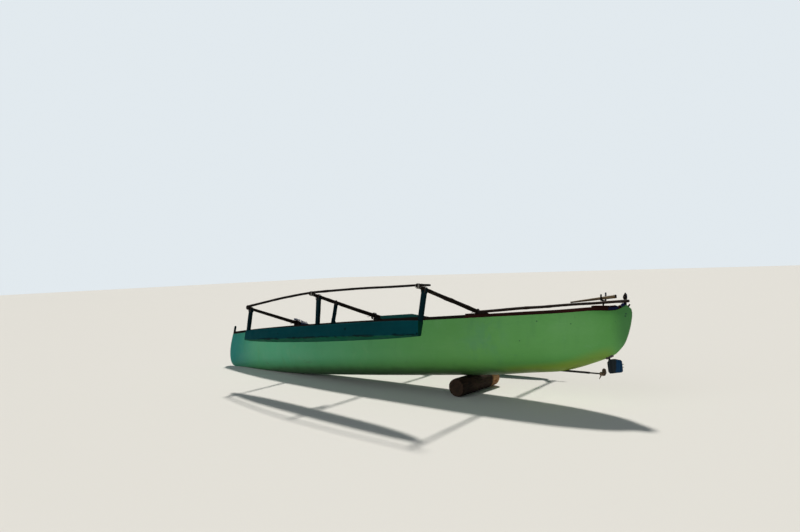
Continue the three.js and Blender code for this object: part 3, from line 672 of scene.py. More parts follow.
def inner_look():
    """The hull's inside: old thin green paint over boards, gone at the bilge."""
    look = Look("hull_inside", specular=0.25)
    spot = look.place()
    z = spot.axis("Z")
    board = look.place(1.2, 18.0, 18.0).noise(2.4, 7.0, 0.62)
    wood = board.band(0.3, 0.7).blend((0.105, 0.068, 0.042), (0.2, 0.145, 0.095))
    paint = spot.noise(3.0).band(0.3, 0.7).blend((0.1, 0.27, 0.13), (0.15, 0.33, 0.19))
    loss = spot.noise(7.0, 9.0, 0.72) + z.band(0.05, 0.5, 0.16, -0.14)
    dirt = (z + spot.noise(6.0) * 0.1).fall(0.06, 0.22)
    colour = loss.band(0.46, 0.56).blend(paint, wood).under((dirt, 0.8, (0.035, 0.03, 0.022)))
    return look.finish(colour, 0.72, board.bump(0.002, 0.6))


def wood_look(name, dark, light, worn=None, roughness=0.7, specular=0.25, fine=1.0, relief=0.0015):
    """Wood whose grain runs along the piece, with worn or pale stretches."""
    look = Look(name, roughness, specular)
    grain = look.grain(1.6 * fine, 22.0 * fine).noise(3.0, 8.0, 0.65, 0.3)
    colour = grain.band(0.28, 0.72).blend(dark, light)
    if worn:
        bare = look.grain(2.4, 9.0).noise(2.2, 8.0, 0.7).band(0.56, 0.7)
        colour = colour.under((bare, 0.6, worn))
    cracks = look.grain(0.8, 34.0).noise(4.0, 3.0, 0.5).band(0.66, 0.74)
    colour = colour.under((cracks, 0.7, darker(dark, 0.3)))
    rough = grain.band(0.2, 0.8, roughness - 0.12, roughness + 0.1)
    return look.finish(colour, rough, (grain + cracks * -0.6).bump(relief, 0.8))


def paint_look(name, base, shade, bare, roughness=0.7, wear=0.68, specular=0.05, scale=1.0):
    """Thick paint over wood: uneven in tone, dull in places, and chipped to what lies under it."""
    look = Look(name, roughness, specular)
    streaks = look.grain(1.1, 14.0).noise(2.6 * scale, 7.0, 0.65).band(0.52, 0.75)
    chips = look.grain(5.0, 12.0).noise(3.4 * scale, 10.0, 0.72).band(wear, wear + 0.03)
    colour = look.grain().noise(2.6 * scale, 5.0, 0.6).band(0.3, 0.72).blend(base, shade)
    colour = colour.under((streaks, 0.4, darker(shade, 0.55)), (chips, 0.85, bare))
    return look.finish_paint(colour, chips, (roughness - 0.08, roughness + 0.14))


def float_look():
    """A float's thick teal paint: green below the chine and on the transom, dark along its worn edges, with a
    painted highlight along its top edge.
    """
    look = Look("float_teal", specular=0.04)
    tone = look.grain(0.5, 1.4).noise(2.0, 5.0, 0.6).band(0.3, 0.72)
    teal = tone.blend((0.0008, 0.051, 0.061), (0.0006, 0.039, 0.048))
    green = tone.blend((0.002, 0.08, 0.043), (0.0015, 0.062, 0.033))
    bands = look.grain(1.6, 0.9).noise(2.2, 6.0, 0.62).band(0.5, 0.74)
    streaks = look.grain(1.1, 14.0).noise(2.6, 7.0, 0.65).band(0.54, 0.76)
    height = look.stored("form").axis("X")
    ragged = height + (look.grain(3.0, 9.0).noise(3.0, 9.0, 0.7) - 0.5) * 0.5
    transom = look.place().axis("X").fall(-1.8505, -1.8485)
    chine = ragged.band(-0.1, -0.02) * ragged.fall(0.0, 0.12)
    gaps = look.grain(2.2, 0.6).noise(1.7, 5.0, 0.6).band(0.42, 0.58)
    chips = look.grain(5.0, 12.0).noise(2.7, 10.0, 0.72).band(0.68, 0.71)
    colour = teal.under(
        (bands, 0.35, (0.0006, 0.027, 0.033)),
        (streaks, 0.3, (0.003, 0.062, 0.066)),
        # Painted highlight: lighter along the top edge
        (ragged.band(0.93, 1.0), 0.7, (0.003, 0.064, 0.072)),
        (height.fall(-0.03, 0.0), 1.0, green),
        (transom, 1.0, (0.001, 0.038, 0.022)),
        (chine * gaps, 0.9, (0.0012, 0.008, 0.009)),
        (chips, 0.7, (0.01, 0.014, 0.013)),
    )
    colour = look.marks(colour, FLOAT_KNOTS, 0.4, 0.85, (0.0012, 0.006, 0.007))
    return look.finish_paint(colour, chips, (0.62, 0.86))


def hatch_look():
    """The engine cover's faded teal, near black along the foot of its sides with painted shade."""
    look = Look("hatch_teal", specular=0.08)
    spot = look.place()
    tone = spot.noise(3.2, 5.0, 0.6).band(0.3, 0.72)
    streaks = look.place(2.0, 14.0, 14.0).noise(2.4, 7.0, 0.65).band(0.52, 0.75)
    chips = spot.noise(17.0, 10.0, 0.72).band(0.66, 0.69)
    # Painted shade: near black along the foot of the sides, under the cover's edge
    foot = (spot.axis("Z") + look.place(9.0, 9.0, 1.0).noise(1.0, 6.0) * -0.01).fall(0.706, 0.713)
    colour = tone.blend((0.012, 0.095, 0.085), (0.009, 0.074, 0.068)).under(
        (streaks, 0.35, (0.022, 0.115, 0.1)),
        (chips, 0.8, (0.03, 0.035, 0.03)),
        (foot, 1.0, (0.0022, 0.0035, 0.004)),
    )
    rough = spot.noise(9.0).band(0.3, 0.7, 0.48, 0.72)
    return look.finish(colour, rough, spot.noise(28.0, 8.0, 0.65).bump(0.0012, 0.6))


def rudder_look():
    """The rudder's blade: blue on its after half, dark grey ahead, with dark chips."""
    look = Look("rudder_navy", specular=0.08)
    spot = look.place()
    grain = look.grain(1.4, 18.0).noise(3.0, 7.0, 0.65)
    tone = grain.band(0.3, 0.7)
    blue = tone.blend((0.005, 0.042, 0.105), (0.0025, 0.023, 0.06))
    grey = tone.blend((0.005, 0.008, 0.01), (0.026, 0.033, 0.037))
    border = spot.axis("X") + (spot.noise(14.0, 6.0) - 0.5) * 0.05
    chips = look.grain(6.0, 14.0).noise(3.0, 9.0, 0.7).band(0.6, 0.64)
    colour = border.band(-3.392, -3.372).blend(blue, grey).under((chips, 0.8, (0.006, 0.007, 0.009)))
    return look.finish(colour, grain.band(0.2, 0.8, 0.45, 0.7), grain.bump(0.0012, 0.7))


def metal_look(name, base, tarnish, roughness, metallic):
    look = Look(name, roughness, 0.5, metallic)
    spot = look.place()
    stains = spot.noise(24.0, 8.0, 0.7).band(0.4, 0.66)
    rough = stains.band(0.0, 1.0, roughness - 0.1, min(roughness + 0.3, 0.95))
    return look.finish(stains.blend(base, tarnish), rough, spot.noise(70.0, 6.0).bump(0.0006, 0.6))


def rope_look(name, base, shade):
    look = Look(name, 0.85, 0.15)
    strands = look.grain(1.0, 0.6).waves(150.0, 2.0, 2.0, bands_direction="DIAGONAL")
    soiled = look.place().noise(30.0).band(0.35, 0.65)
    colour = strands.blend(darker(base, 0.45), base).under((soiled, 0.6, shade))
    return look.finish(colour, None, strands.bump(0.0008, 0.8))


def log_look():
    """Rough bark, very dark partly as painted shade, with painted sunlight in orange towards the log's near
    end.
    """
    look = Look("log_bark", 0.85, 0.15)
    spot = look.place()
    ridges = look.grain(3.0, 16.0).noise(2.6, 9.0, 0.68, 0.6)
    pale = look.grain(1.2, 2.0).noise(3.0, 6.0, 0.6).band(0.52, 0.66)
    # Very dark bark, partly its own colour and partly painted shade
    bark = ridges.band(0.3, 0.7).blend((0.009, 0.006, 0.004), (0.048, 0.028, 0.018))
    # Painted sunlight: orange bark towards the near end
    sunlit_bark = ridges.band(0.35, 0.65).blend((0.2, 0.085, 0.03), (0.46, 0.26, 0.13))
    sunlit_end = spot.axis("Y") + (spot.noise(9.0, 6.0) - 0.5) * 0.16
    colour = bark.under((pale, 0.4, (0.085, 0.05, 0.03)), (sunlit_end.fall(-0.37, -0.31), 1.0, sunlit_bark))
    return look.finish(colour, None, ridges.bump(0.006, 0.9))


def sawn_look():
    """The log's weathered sawn end, with rings, very dark partly as painted shade."""
    look = Look("log_sawn_end", 0.8, 0.15)
    spot = look.grain(0.0, 1.0)
    rings = spot.waves(26.0, 3.0, 4.0, 1.6, wave_type="RINGS", rings_direction="X")
    weathered = spot.noise(16.0, 7.0, 0.7).band(0.42, 0.66)
    # Very dark rings, partly their own colour and partly painted shade
    colour = rings.blend((0.022, 0.012, 0.007), (0.06, 0.033, 0.019))
    colour = colour.under((weathered, 0.75, (0.014, 0.009, 0.007)))
    return look.finish(colour, None, rings.bump(0.0015, 0.6))


HULL_GREEN = hull_look()
HULL_INSIDE = inner_look()
FLOAT_TEAL = float_look()
HATCH_TEAL = hatch_look()
RUDDER_NAVY = rudder_look()

RAW_EDGE = wood_look("raw_edge", (0.07, 0.05, 0.03), (0.15, 0.11, 0.07))
RAIL_DARK = wood_look("rail_dark", (0.006, 0.004, 0.004), (0.016, 0.009, 0.007), None, 0.8, 0.05)
DARK_POLE = wood_look(
    "dark_pole", (0.005, 0.004, 0.0035), (0.018, 0.012, 0.009), (0.045, 0.03, 0.022), 0.8, 0.05, relief=0.0018
)
TIP_POLE_WOOD = wood_look(
    "tip_pole_wood", (0.004, 0.0035, 0.003), (0.014, 0.01, 0.008), None, 0.8, 0.04, fine=1.2, relief=0.001
)
POLE_BROWN = wood_look(
    "pole_brown", (0.008, 0.004, 0.003), (0.03, 0.016, 0.011), (0.09, 0.055, 0.038), specular=0.15
)
BAMBOO = wood_look(
    "bamboo", (0.03, 0.019, 0.009), (0.2, 0.13, 0.058), (0.36, 0.25, 0.12), 0.5, fine=0.8, relief=0.0008
)
GREY_STICK = wood_look("grey_stick", (0.045, 0.048, 0.06), (0.17, 0.17, 0.19))
BARE_BOARD = wood_look("bare_board", (0.085, 0.058, 0.038), (0.215, 0.16, 0.108), (0.27, 0.22, 0.165), 0.75)

RAIL_PAINT = paint_look(
    "rail_brown", (0.034, 0.0085, 0.006), (0.016, 0.005, 0.004), (0.075, 0.04, 0.026), 0.72, 0.66
)
POST_TEAL = paint_look("post_teal", (0.001, 0.0165, 0.022), (0.0008, 0.0105, 0.015), (0.014, 0.016, 0.014))
STERN_BLUE = paint_look(
    "stern_blue", (0.004, 0.01, 0.055), (0.004, 0.007, 0.024), (0.03, 0.03, 0.03), 0.6, 0.66, 0.08
)
BOW_POST = paint_look("bow_post_green", (0.005, 0.026, 0.026), (0.003, 0.015, 0.016), (0.03, 0.03, 0.025))
ENGINE_PAINT = paint_look(
    "engine_grey", (0.05, 0.056, 0.052), (0.03, 0.032, 0.03), (0.09, 0.05, 0.03), 0.5, 0.62, 0.35, 2.0
)

TUBE_DARK = metal_look("stained_tube", (0.016, 0.012, 0.01), (0.008, 0.006, 0.005), 0.65, 0.3)
IRON = metal_look("dark_iron", (0.045, 0.04, 0.038), (0.085, 0.04, 0.022), 0.55, 0.55)
STEEL = metal_look("stained_steel", (0.05, 0.04, 0.036), (0.018, 0.014, 0.012), 0.55, 0.6)
BRONZE = metal_look("old_bronze", (0.19, 0.125, 0.07), (0.05, 0.03, 0.022), 0.5, 0.8)

ROPE_DARK = rope_look("rope_dark", (0.06, 0.05, 0.046), (0.012, 0.01, 0.012))
ROPE_BLUE = rope_look("rope_blue", (0.06, 0.12, 0.32), (0.016, 0.024, 0.07))
ROPE_PALE = rope_look("rope_pale", (0.42, 0.4, 0.36), (0.16, 0.15, 0.14))


# Hull


def station(share):
    return eased_rows(HULL_STATIONS, share)


def half_beam_at(x):
    """The rail's half beam at X, found by halving."""
    low, high = 0.0, 1.0
    for _ in range(40):
        middle = (low + high) / 2
        if station(middle)[2] > x:
            low = middle
        else:
            high = middle
    return station(low)[4]


def forefoot(h):
    return (1 - (1 - h) ** 3) ** 0.43 + 0.1 * math.sin(math.pi * h)


def stern_sweep(h):
    """A smooth curve through the stern's profile."""
    last = len(STERN_PROFILE) - 1
    i = next((k for k in range(1, last) if STERN_PROFILE[k][0] >= h), last)

    def slope(k):
        (h0, run0), (h1, run1) = STERN_PROFILE[max(k - 1, 0)], STERN_PROFILE[min(k + 1, last)]
        return (run1 - run0) / (h1 - h0)

    (h0, run0), (h1, run1) = STERN_PROFILE[i - 1], STERN_PROFILE[i]
    wide = h1 - h0
    return cubic(run0, run1, slope(i - 1) * wide, slope(i) * wide, min(max((h - h0) / wide, 0.0), 1.0))


def hull_ring(share, inset, lift, half_steps):
    """A section from the port rail round the keel to the starboard rail."""
    keel_x, keel_z, rail_x, rail_z, half_beam, fullness = station(share)
    run = forefoot if keel_x > 0 else stern_sweep
    bottom = keel_z + lift
    height = rail_z - RAIL_HEIGHT - bottom
    port = []
    for i in range(half_steps, -1, -1):
        angle = math.pi / 2 * i / half_steps
        h = 1 - max(math.cos(angle), 0.0) ** (2 / fullness)
        y = max(half_beam - inset, 0.001) * math.sin(angle) ** (2 / fullness)
        port.append(Vector((keel_x + (rail_x - keel_x) * run(h), y, bottom + height * h)))
    return port + [Vector((p.x, -p.y, p.z)) for p in port[-2::-1]]


def whole_hull():
    """The shell as one closed body: its outside, its inside, and the edge between them."""
    start, end = CAVITY
    end_steps, middle_steps, half = 20, 120, 26
    last = 2 * half
    width = last + 1
    bow = [mix((0, start), i / end_steps) for i in range(end_steps)]
    middle = [mix(CAVITY, i / middle_steps) for i in range(middle_steps + 1)]
    stern = [mix((end, 1), (i + 1) / end_steps) for i in range(end_steps)]
    outer = [hull_ring(share, 0, 0, half) for share in bow + middle + stern]
    inner = [hull_ring(share, STRAKE_THICKNESS, BOTTOM_THICKNESS, half) for share in middle]
    first, after = len(bow), len(bow) + len(middle) - 1
    shift = len(outer) * width
    faces, kinds = [], []

    def face(kind, *corners):
        faces.append(corners)
        kinds.append(kind)

    for i in range(len(outer) - 1):
        for a in range(i * width, i * width + last):
            face(0, a, a + 1, a + width + 1, a + width)
    for i in range(len(inner) - 1):
        for a in range(shift + i * width, shift + i * width + last):
            face(1, a, a + width, a + width + 1, a + 1)
    for i in range(len(outer) - 1):
        a, b = i * width, (i + 1) * width
        p, q = shift + (i - first) * width, shift + (i + 1 - first) * width
        if first <= i < after:
            face(2, a, b, q, p)
            face(2, a + last, p + last, q + last, b + last)
        elif i == first - 1:
            face(2, a, b, q, q + last, b + last, a + last)
        elif i == after:
            face(2, a, b, b + last, a + last, p + last, p)
        else:
            face(2, a, b, b + last, a + last)
    caps = ((0, 0), (shift - width, 0), (shift, 1), (shift + (len(inner) - 1) * width, 1))
    for cap, kind in caps:
        for j in range(half):
            a, b = cap + j, cap + last - j
            if b - 1 > a + 1:
                face(kind, a, a + 1, b - 1, b)
            else:
                face(kind, a, a + 1, b)
    bm = solid([p for ring in outer + inner for p in ring], faces)
    bm.faces.ensure_lookup_table()
    for found, kind in zip(bm.faces, kinds):
        found.material_index = kind
    return bm


def make_hull():
    whole = whole_hull()
    bow, port, middle = Vector((1, 0, 0)), Vector((0, 1, 0)), Vector((0, 0, 0))
    seam, block, tail = UP * SEAM_Z, bow * BOW_BLOCK_X, bow * STERN_BLOCK_X
    sides = [(seam, -UP), (block, bow), (tail, -bow)]
    # Each part of the hull: its lengths, and the planes that it lies below
    parts = {
        "bottom": (BOTTOM_LENGTHS, [(seam, UP)]),
        "bow_block": ((), [(seam, -UP), (block, -bow)]),
        "stern_block": ((), [(seam, -UP), (tail, bow)]),
        "strake_port": (SIDE_LENGTHS, [*sides, (middle, -port)]),
        "strake_starboard": (SIDE_LENGTHS, [*sides, (middle, port)]),
    }
    for name, (lengths, planes) in parts.items():
        bm = whole.copy()
        for point, normal in planes:
            keep_below(bm, point, normal)
        nodes = [f"{name}_{length}" for length in lengths] or [name]
        looks = [HULL_GREEN, HULL_INSIDE, RAW_EDGE]
        piece(f"{name}_planks", set_grain(bm), looks, "hull_paint", nodes=nodes)
    whole.free()


def rail_section(side, share):
    _, _, x, rail_z, half_beam, _ = station(mix(RAIL_SPAN, share))
    outer = half_beam + RAIL_OVERHANG
    inner = max(outer - RAIL_WIDTH, 0.001)
    y, z, half = side * (outer + inner) / 2, rail_z - RAIL_HEIGHT / 2, (outer - inner) / 2
    wave = 0.0012 * ripple(x * 2.1, side * 3.0, 0.5)
    outline = rounded_box(half, RAIL_HEIGHT / 2 - 0.0002, min(0.005, half * 0.8))
    ring = [Vector((x, y + a, z + b + (wave if b > 0 else 0))) for a, b in outline]
    return ring, [Vector((p.x, p.y - y, p.z - z + side)) for p in ring]


def make_rails():
    for name, side in SIDES.items():

        def look_number(face, spot):
            if face.normal.y * side > 0.8 and BLUE_PATCH[0] < spot.x < BLUE_PATCH[1]:
                return 2
            # Near black ahead of RAIL_DARK_FROM_X: partly the rail's own colour, partly painted shade under
            # the engine cover
            return spot.x > RAIL_DARK_FROM_X

        bm = choose_looks(swept(lambda share: rail_section(side, share), 181), look_number)
        nodes = [f"rail_{name}_{length}" for length in SIDE_LENGTHS]
        piece(f"rail_{name}_capping", bm, [RAIL_PAINT, RAIL_DARK, STERN_BLUE], "rail_paint", nodes=nodes)


def deck_section(share):
    _, _, x, rail_z, half, _ = station(mix(DECK_SPAN, share))
    ring = [Vector((x, a, rail_z + DECK_LIFT + b)) for a, b in rounded_box(half, DECK_THICKNESS / 2, 0.004)]
    return ring, [p.copy() for p in ring]


def make_ends():
    dressed("bow_post", "stick", BOW_POST, "post_paint", (0.004,), "zxy")

    def dark_band(face, spot):
        return STERN_HEAD_DARK[0] < spot.z < STERN_HEAD_DARK[1]

    looks = [STERN_BLUE, RAIL_DARK]
    dressed("stern_head", "leaf", looks, "blue_paint", (0.005, 3), "zxy", 2.0, rule=dark_band)
    shape = knotty(lambda share: 0.011 - 0.003 * share, 83, 2)
    piece("stern_peg", tube(line_through(STERN_PEG, 12), shape, 12, 6.0), RAIL_DARK)
    stand_in("stern_deck", "board", swept(deck_section, 25), RAIL_PAINT, "rail_paint")


# Outriggers


BOOM_ROOT_Y = {name: half_beam_at(x) for name, (x, *_) in BOOMS.items()}


def boom_line(name, count):
    x, tip_y, tip_z, root_z = BOOMS[name]
    root_y = BOOM_ROOT_Y[name]
    knots = [(-tip_y, tip_z), (-root_y, root_z), (0, root_z - BOOM_SAG), (root_y, root_z), (tip_y, tip_z)]
    return line_through([(x, y, z) for y, z in knots], count)


def boom_height(name, y):
    _, tip_y, tip_z, root_z = BOOMS[name]
    root_y = BOOM_ROOT_Y[name]
    return root_z + (tip_z - root_z) * (abs(y) - root_y) / (tip_y - root_y)


def knotty(base, seed, knots=9, rough=0.05):
    """A natural pole's radius: it swells at knots and is never quite round."""
    chance = random.Random(seed)
    limits = ((0.03, 0.97), (0, 6.28), (0.05, 0.16))
    marks = [[chance.uniform(*limit) for limit in limits] for _ in range(knots)]

    def radius(share, angle, along):
        swell = 1 + rough * ripple(along * 5.0, math.cos(angle) * 0.7 + seed, math.sin(angle) * 0.7)
        for at, toward, height in marks:
            near = math.exp(-(((share - at) / 0.012) ** 2))
            swell += height * near * (0.4 + 0.6 * max(0.0, math.cos(angle - toward)) ** 2)
        rim = min(share, 1 - share)
        return base(share) * swell * (1 - 0.22 * math.exp(-rim / 0.0015))

    return radius


def bent(line, amount, seed):
    """Moves a line's points sideways a little, as a natural pole wanders."""
    run = [p.copy() for p in line]
    for i, p in enumerate(run):
        share = i / (len(run) - 1)
        hold = math.sin(math.pi * share) ** 0.5
        p.x += amount * hold * ripple(share * 6.0, seed, 0.3)
        p.z += amount * hold * ripple(share * 6.0, seed, 7.9)
    return run


def make_booms():
    for index, name in enumerate(BOOMS):
        shape = knotty(lambda share: mix(BOOM_RADIUS, abs(2 * share - 1)), 11 + index, 16)
        pole = tube(bent(boom_line(name, 181), 0.005, index), shape, 20, 3.0 * index)
        stand_in(f"boom_{name}", "pole", pole, DARK_POLE, "dark_pole")
    edge = (0.003, 2, 50)
    for name in ("saddle_front", "saddle_mid"):
        dressed(name, "timber", RAIL_DARK, "dark_pole", edge, "yxz", 1.3)
    for index, (name, side) in enumerate(SIDES.items()):
        dressed(f"rail_bar_{name}", "block", RAIL_DARK, "dark_pole", edge, seed=index + 0.5)
        line = bent(line_through([(x, side * y, z) for x, y, z in TIP_POLE], 201), 0.004, 5.0 + index)
        shape = knotty(lambda share: mix(TIP_POLE_RADIUS, share), 31 + index, 14, 0.07)
        stand_in(f"tip_pole_{name}", "stick", tube(line, shape, 12, 9.0 + index), TIP_POLE_WOOD, "dark_pole")


def post_section(name, side, seed, share):
    top_y, foot_y, ahead = POSTS[name]
    x = BOOMS[name][0]
    middle = x + ahead * (1 - share) + 0.0022 * ripple(share * 1.9, seed, 9)
    y = mix((foot_y, top_y), share)
    z = mix((POST_FOOT_Z, boom_height(name, top_y) - 0.004), share)
    wide = mix(POST_WIDTH, share) / 2 * (1 + 0.05 * ripple(z * 9, seed, 0)) - 0.0005
    deep = POST_THICKNESS / 2 * (1 + 0.06 * ripple(z * 8, seed, 5))
    ring = [Vector((middle + a, side * (y + b), z)) for a, b in rounded_box(wide, deep, 0.006)]
    return ring, [Vector((p.z, p.x - x, p.y - side * y + seed)) for p in ring]


def make_posts():
    for index, (side_name, side) in enumerate(SIDES.items()):
        for number, name in enumerate(POSTS):
            seed = 4.0 * number + 17 * index
            bm = swept(lambda share: post_section(name, side, seed, share), 31)
            stand_in(f"post_{name}_{side_name}", "board", bm, POST_TEAL, "post_paint")
        x = BOOMS["mid"][0]
        knots = [(x, side * y, boom_height("mid", y) - 0.008 if z is None else z) for y, z in CROOK]
        shape = knotty(lambda share: CROOK_RADIUS * (1.0 - 0.06 * share), 51 + index, 7, 0.08)
        branch = tube(line_through(knots, 61), shape, 18, 21.0 + index)
        stand_in(f"post_crook_{side_name}", "branch", branch, POST_TEAL, "post_paint")
        cut = [Vector((x + 0.004, side * y, z)) for y, z in CROOK_STUB]
        stub = tube(line_through(cut, 16), knotty(lambda share: 0.020 - 0.003 * share, 57, 3), 14, 4.0)
        piece(f"post_crook_{side_name}_stub", stub, POST_TEAL, "post_paint")


def float_ring(share, side):
    x, centre, deck, chine_half, top, chine, keel = eased_rows(FLOAT_STATIONS, share)
    outside = [(deck, top), ((deck + chine_half) / 2, (top + chine) / 2), (chine_half, chine)]
    outside.append((0.55 * chine_half, keel + 0.3 * (chine - keel)))
    outline = [(-y, z) for y, z in outside] + [(0, keel)] + outside[::-1]
    return [Vector((x, side * (centre + y), z)) for y, z in outline]


def set_form(bm):
    """Stores how high each point of a float is: none at the chine, and one at the top."""
    rows = [eased_rows(FLOAT_STATIONS, i / 240) for i in range(241)]
    layer = bm.verts.layers.float_vector.new("form")
    for vert in bm.verts:
        _, _, _, _, top, chine, _ = min(rows, key=lambda row: abs(row[0] - vert.co.x))
        vert[layer] = Vector(((vert.co.z - chine) / (top - chine), 0, 0))


def make_floats():
    for name, side in SIDES.items():
        bm = solid(*skin([float_ring(i / 84, side) for i in range(85)]))
        soften(bm, 0.006, 3, 32)
        set_form(bm)
        for vert in bm.verts:
            vert.co.y += 0.0016 * ripple(vert.co.x * 1.7, vert.co.z * 9.0, side)
            vert.co.z += 0.0014 * ripple(vert.co.x * 2.3, vert.co.y * 6.0, side + 4)
        stand_in(f"float_{name}", "hull", set_grain(bm, "xyz", side), FLOAT_TEAL, "float_paint", smooth=30)


# Fittings inside the hull


def make_fittings():
    planked = [(f"floor_{name}", FLOOR_GAPS, 1, "xyz", 0.0) for name in ("fore", "aft")]
    planked += [(f"seat_{name}", gaps, 0, "yxz", 3.0) for name, gaps in SEAT_GAPS.items()]
    for node, gaps, axis, order, seed in planked:
        stand_in(node, "boards", set_grain(boards(node, gaps, axis), order, seed), BARE_BOARD, "bare_wood")
    dressed("beam_rear", "timber", BARE_BOARD, "bare_wood", (0.004,), "yxz", 5.0)
    dressed("engine_bed", "timbers", BARE_BOARD, "bare_wood", (0.003,), seed=6.0)
    dressed("engine_block", "casting", ENGINE_PAINT, "iron", (0.012, 4), seed=7.0)
    dressed("engine_cover", "hatch", HATCH_TEAL, "hatch_paint", (0.003,), seed=8.0)


# Drive and steering


def on_shaft(x):
    """The place where the shaft's line passes X, turned so that its own X axis lies along the shaft."""
    place = Matrix.Translation((x, 0, SHAFT_EXIT[1] + SHAFT_FALL * (x - SHAFT_EXIT[0])))
    return place @ Matrix.Rotation(-math.atan(SHAFT_FALL), 4, "Y")


def make_drive():
    outer, inner = TUBE_RADIUS
    length = (TUBE_ENDS[1] - TUBE_ENDS[0]) * math.hypot(1, SHAFT_FALL)
    casting = revolved([(0, outer), (length, outer), (length, inner), (0, inner)], 28)
    casting.transform(on_shaft(TUBE_ENDS[0]))
    stand_in("stern_tube", "casting", soften(casting, 0.0008), TUBE_DARK, "bronze")
    ends = [on_shaft(x).to_translation() for x in SHAFT_ENDS]
    shaft = tube(straight(*ends, 40), lambda share, angle, along: SHAFT_RADIUS, 20)
    stand_in("propeller_shaft", "rod", soften(shaft, 0.0015), STEEL, "steel", "propeller")

    hub = revolved([(HUB_PROFILE[0][0], HUB_BORE), *HUB_PROFILE, (HUB_PROFILE[-1][0], HUB_BORE)], 36)
    blades = []
    for turn in (0, 180):
        blade = solid(*skin([blade_ring(i / 16) for i in range(17)]))
        blade.transform(Matrix.Rotation(math.radians(BLADE_CLOCK + turn), 4, "X"))
        blades.append(blade)
    propeller = joined([hub, *blades])
    propeller.transform(on_shaft(HUB_X))
    stand_in("propeller", "casting", propeller, BRONZE, "bronze", "propeller")


def blade_ring(share):
    """A section across a blade that stands out to port, turned less towards its tip."""
    round_share = 2 * min(max(share, 0.02), 0.995) - 1
    chord = BLADE_CHORD * math.sqrt(max(1 - round_share**2, 0.0)) * 0.98 + 0.004
    thick = BLADE_THICKNESS * (1 - 0.55 * share)
    lean = math.radians(90 - BLADE_PITCH + 16 * (share - 0.45))
    along, face = Vector((math.cos(lean), 0, -math.sin(lean))), Vector((math.sin(lean), 0, math.cos(lean)))
    middle = Vector((0, mix(BLADE_SPAN, share), 0))
    ring = []
    for k in range(24):
        angle = 2 * math.pi * k / 24
        rise = thick / 2 * math.sin(angle) + BLADE_CAMBER * math.cos(angle) ** 2
        ring.append(middle + along * (chord / 2 * math.cos(angle)) + face * rise)
    return ring


def make_steering():
    dressed("rudder", "blade", RUDDER_NAVY, "blue_paint", (0.0025, 2, 45), "zxy", 2.0, "rudder")
    first, last = RUDDER_PEG_X
    pegs = [straight(Vector((first, 0, z)), Vector((last, 0, z - 0.002)), 4) for z in RUDDER_PEG_Z]
    piece("rudder_pegs", cord_mesh(pegs, RUDDER_PEG_RADIUS), IRON, body="rudder")
    dressed("tiller", "bar", BARE_BOARD, "bare_wood", (0.004, 3, 45), "xyz", 4.0, "rudder")
    dressed("rudder_bearing", "casting", IRON, "iron", (0.0015, 2, 45))


# Poles stowed over the stern


def make_stowed():
    start, end = LONG_POLE

    def bow(share):
        return UP * (LONG_POLE_BOW * math.sin(math.pi * share))

    line = [p + bow(i / 120) for i, p in enumerate(bent(straight(start, end, 121), 0.004, 3.3))]
    shape = knotty(lambda share: LONG_POLE_RADIUS * (1.0 - 0.10 * share + 0.05 * math.sin(7 * share)), 61, 10)
    stand_in("pole_stowed_long", "pole", tube(line, shape, 16, 31), POLE_BROWN, "dark_pole")

    share = (SHORT_POLE_START_X - start.x) / (end.x - start.x)
    first = start.lerp(end, share) + bow(share) + UP * (LONG_POLE_RADIUS + SHORT_POLE_RADIUS[0] + 0.0006)
    shape = knotty(lambda share: mix(SHORT_POLE_RADIUS, share) * 0.97, 71, 4, 0.04)
    short = tube(straight(first, SHORT_POLE_END, 61), shape, 18, 35)
    choose_looks(short, lambda face, spot: spot.x < SHORT_POLE_END.x + SHORT_POLE_DARK_END)
    stand_in("pole_stowed_short", "pole", short, [BAMBOO, RAIL_DARK], "dark_pole")

    def grey_arm(face, spot):
        return spot.x < CRUTCH_X and spot.z > CRUTCH_GREY_Z

    looks = [DARK_POLE, GREY_STICK]
    dressed("crutch", "stick", looks, "dark_pole", (0.0015, 2, 45), "zxy", 1.0, rule=grey_arm)


# Log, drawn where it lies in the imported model


def make_log():
    low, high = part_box("log")
    radius = (high.x - low.x) / 2
    near, far = (Vector(((low.x + high.x) / 2, y, radius)) for y in (low.y, high.y))

    def bark(share, angle, along):
        dent = 0.5 + 0.5 * ripple(along * 4.0, 2.2 * math.cos(angle), 2.2 * math.sin(angle))
        ridge = abs(ripple(along * 9.0, 7.0 * math.cos(angle), 7.0 * math.sin(angle)))
        rim = min(share, 1 - share)
        return radius * (1 - 0.045 * dent - 0.05 * ridge - 0.06 * math.exp(-rim / 0.010))

    bm = tube(straight(near, far, 61), bark, 72, 2.0, UP)
    choose_looks(bm, lambda face, spot: len(face.verts) > 4)
    ends = [face for face in bm.faces if face.material_index == 1]
    bmesh.ops.inset_individual(bm, faces=ends, thickness=0.012, depth=-0.0015)
    stand_in("log", "roller", bm, [log_look(), sawn_look()], "log_wood", matrix=Matrix.Identity(4))


# Lashings


def winding(centre, along, high, wide, turns, cord, seed):
    """The line of a cord wound round a pole, its turns side by side along one level direction."""
    chance = random.Random(seed)
    along = along.normalized()
    other = along.cross(UP)
    steps = 22
    line = []
    for i in range(int(turns * steps) + 1):
        angle = 2 * math.pi * i / steps
        c, s = math.cos(angle), math.sin(angle)
        a = math.copysign(abs(c) ** 0.75, c) * high
        b = math.copysign(abs(s) ** 0.75, s) * wide
        loose = 1 + 0.05 * ripple(i * 0.13, seed, 0.0) + 0.02 * chance.random()
        shift = 2.1 * cord * (i / steps - turns / 2) + 0.3 * cord * ripple(i * 0.21, seed, 3.0)
        line.append(centre + along * shift + (UP * a + other * b) * loose)
    return line


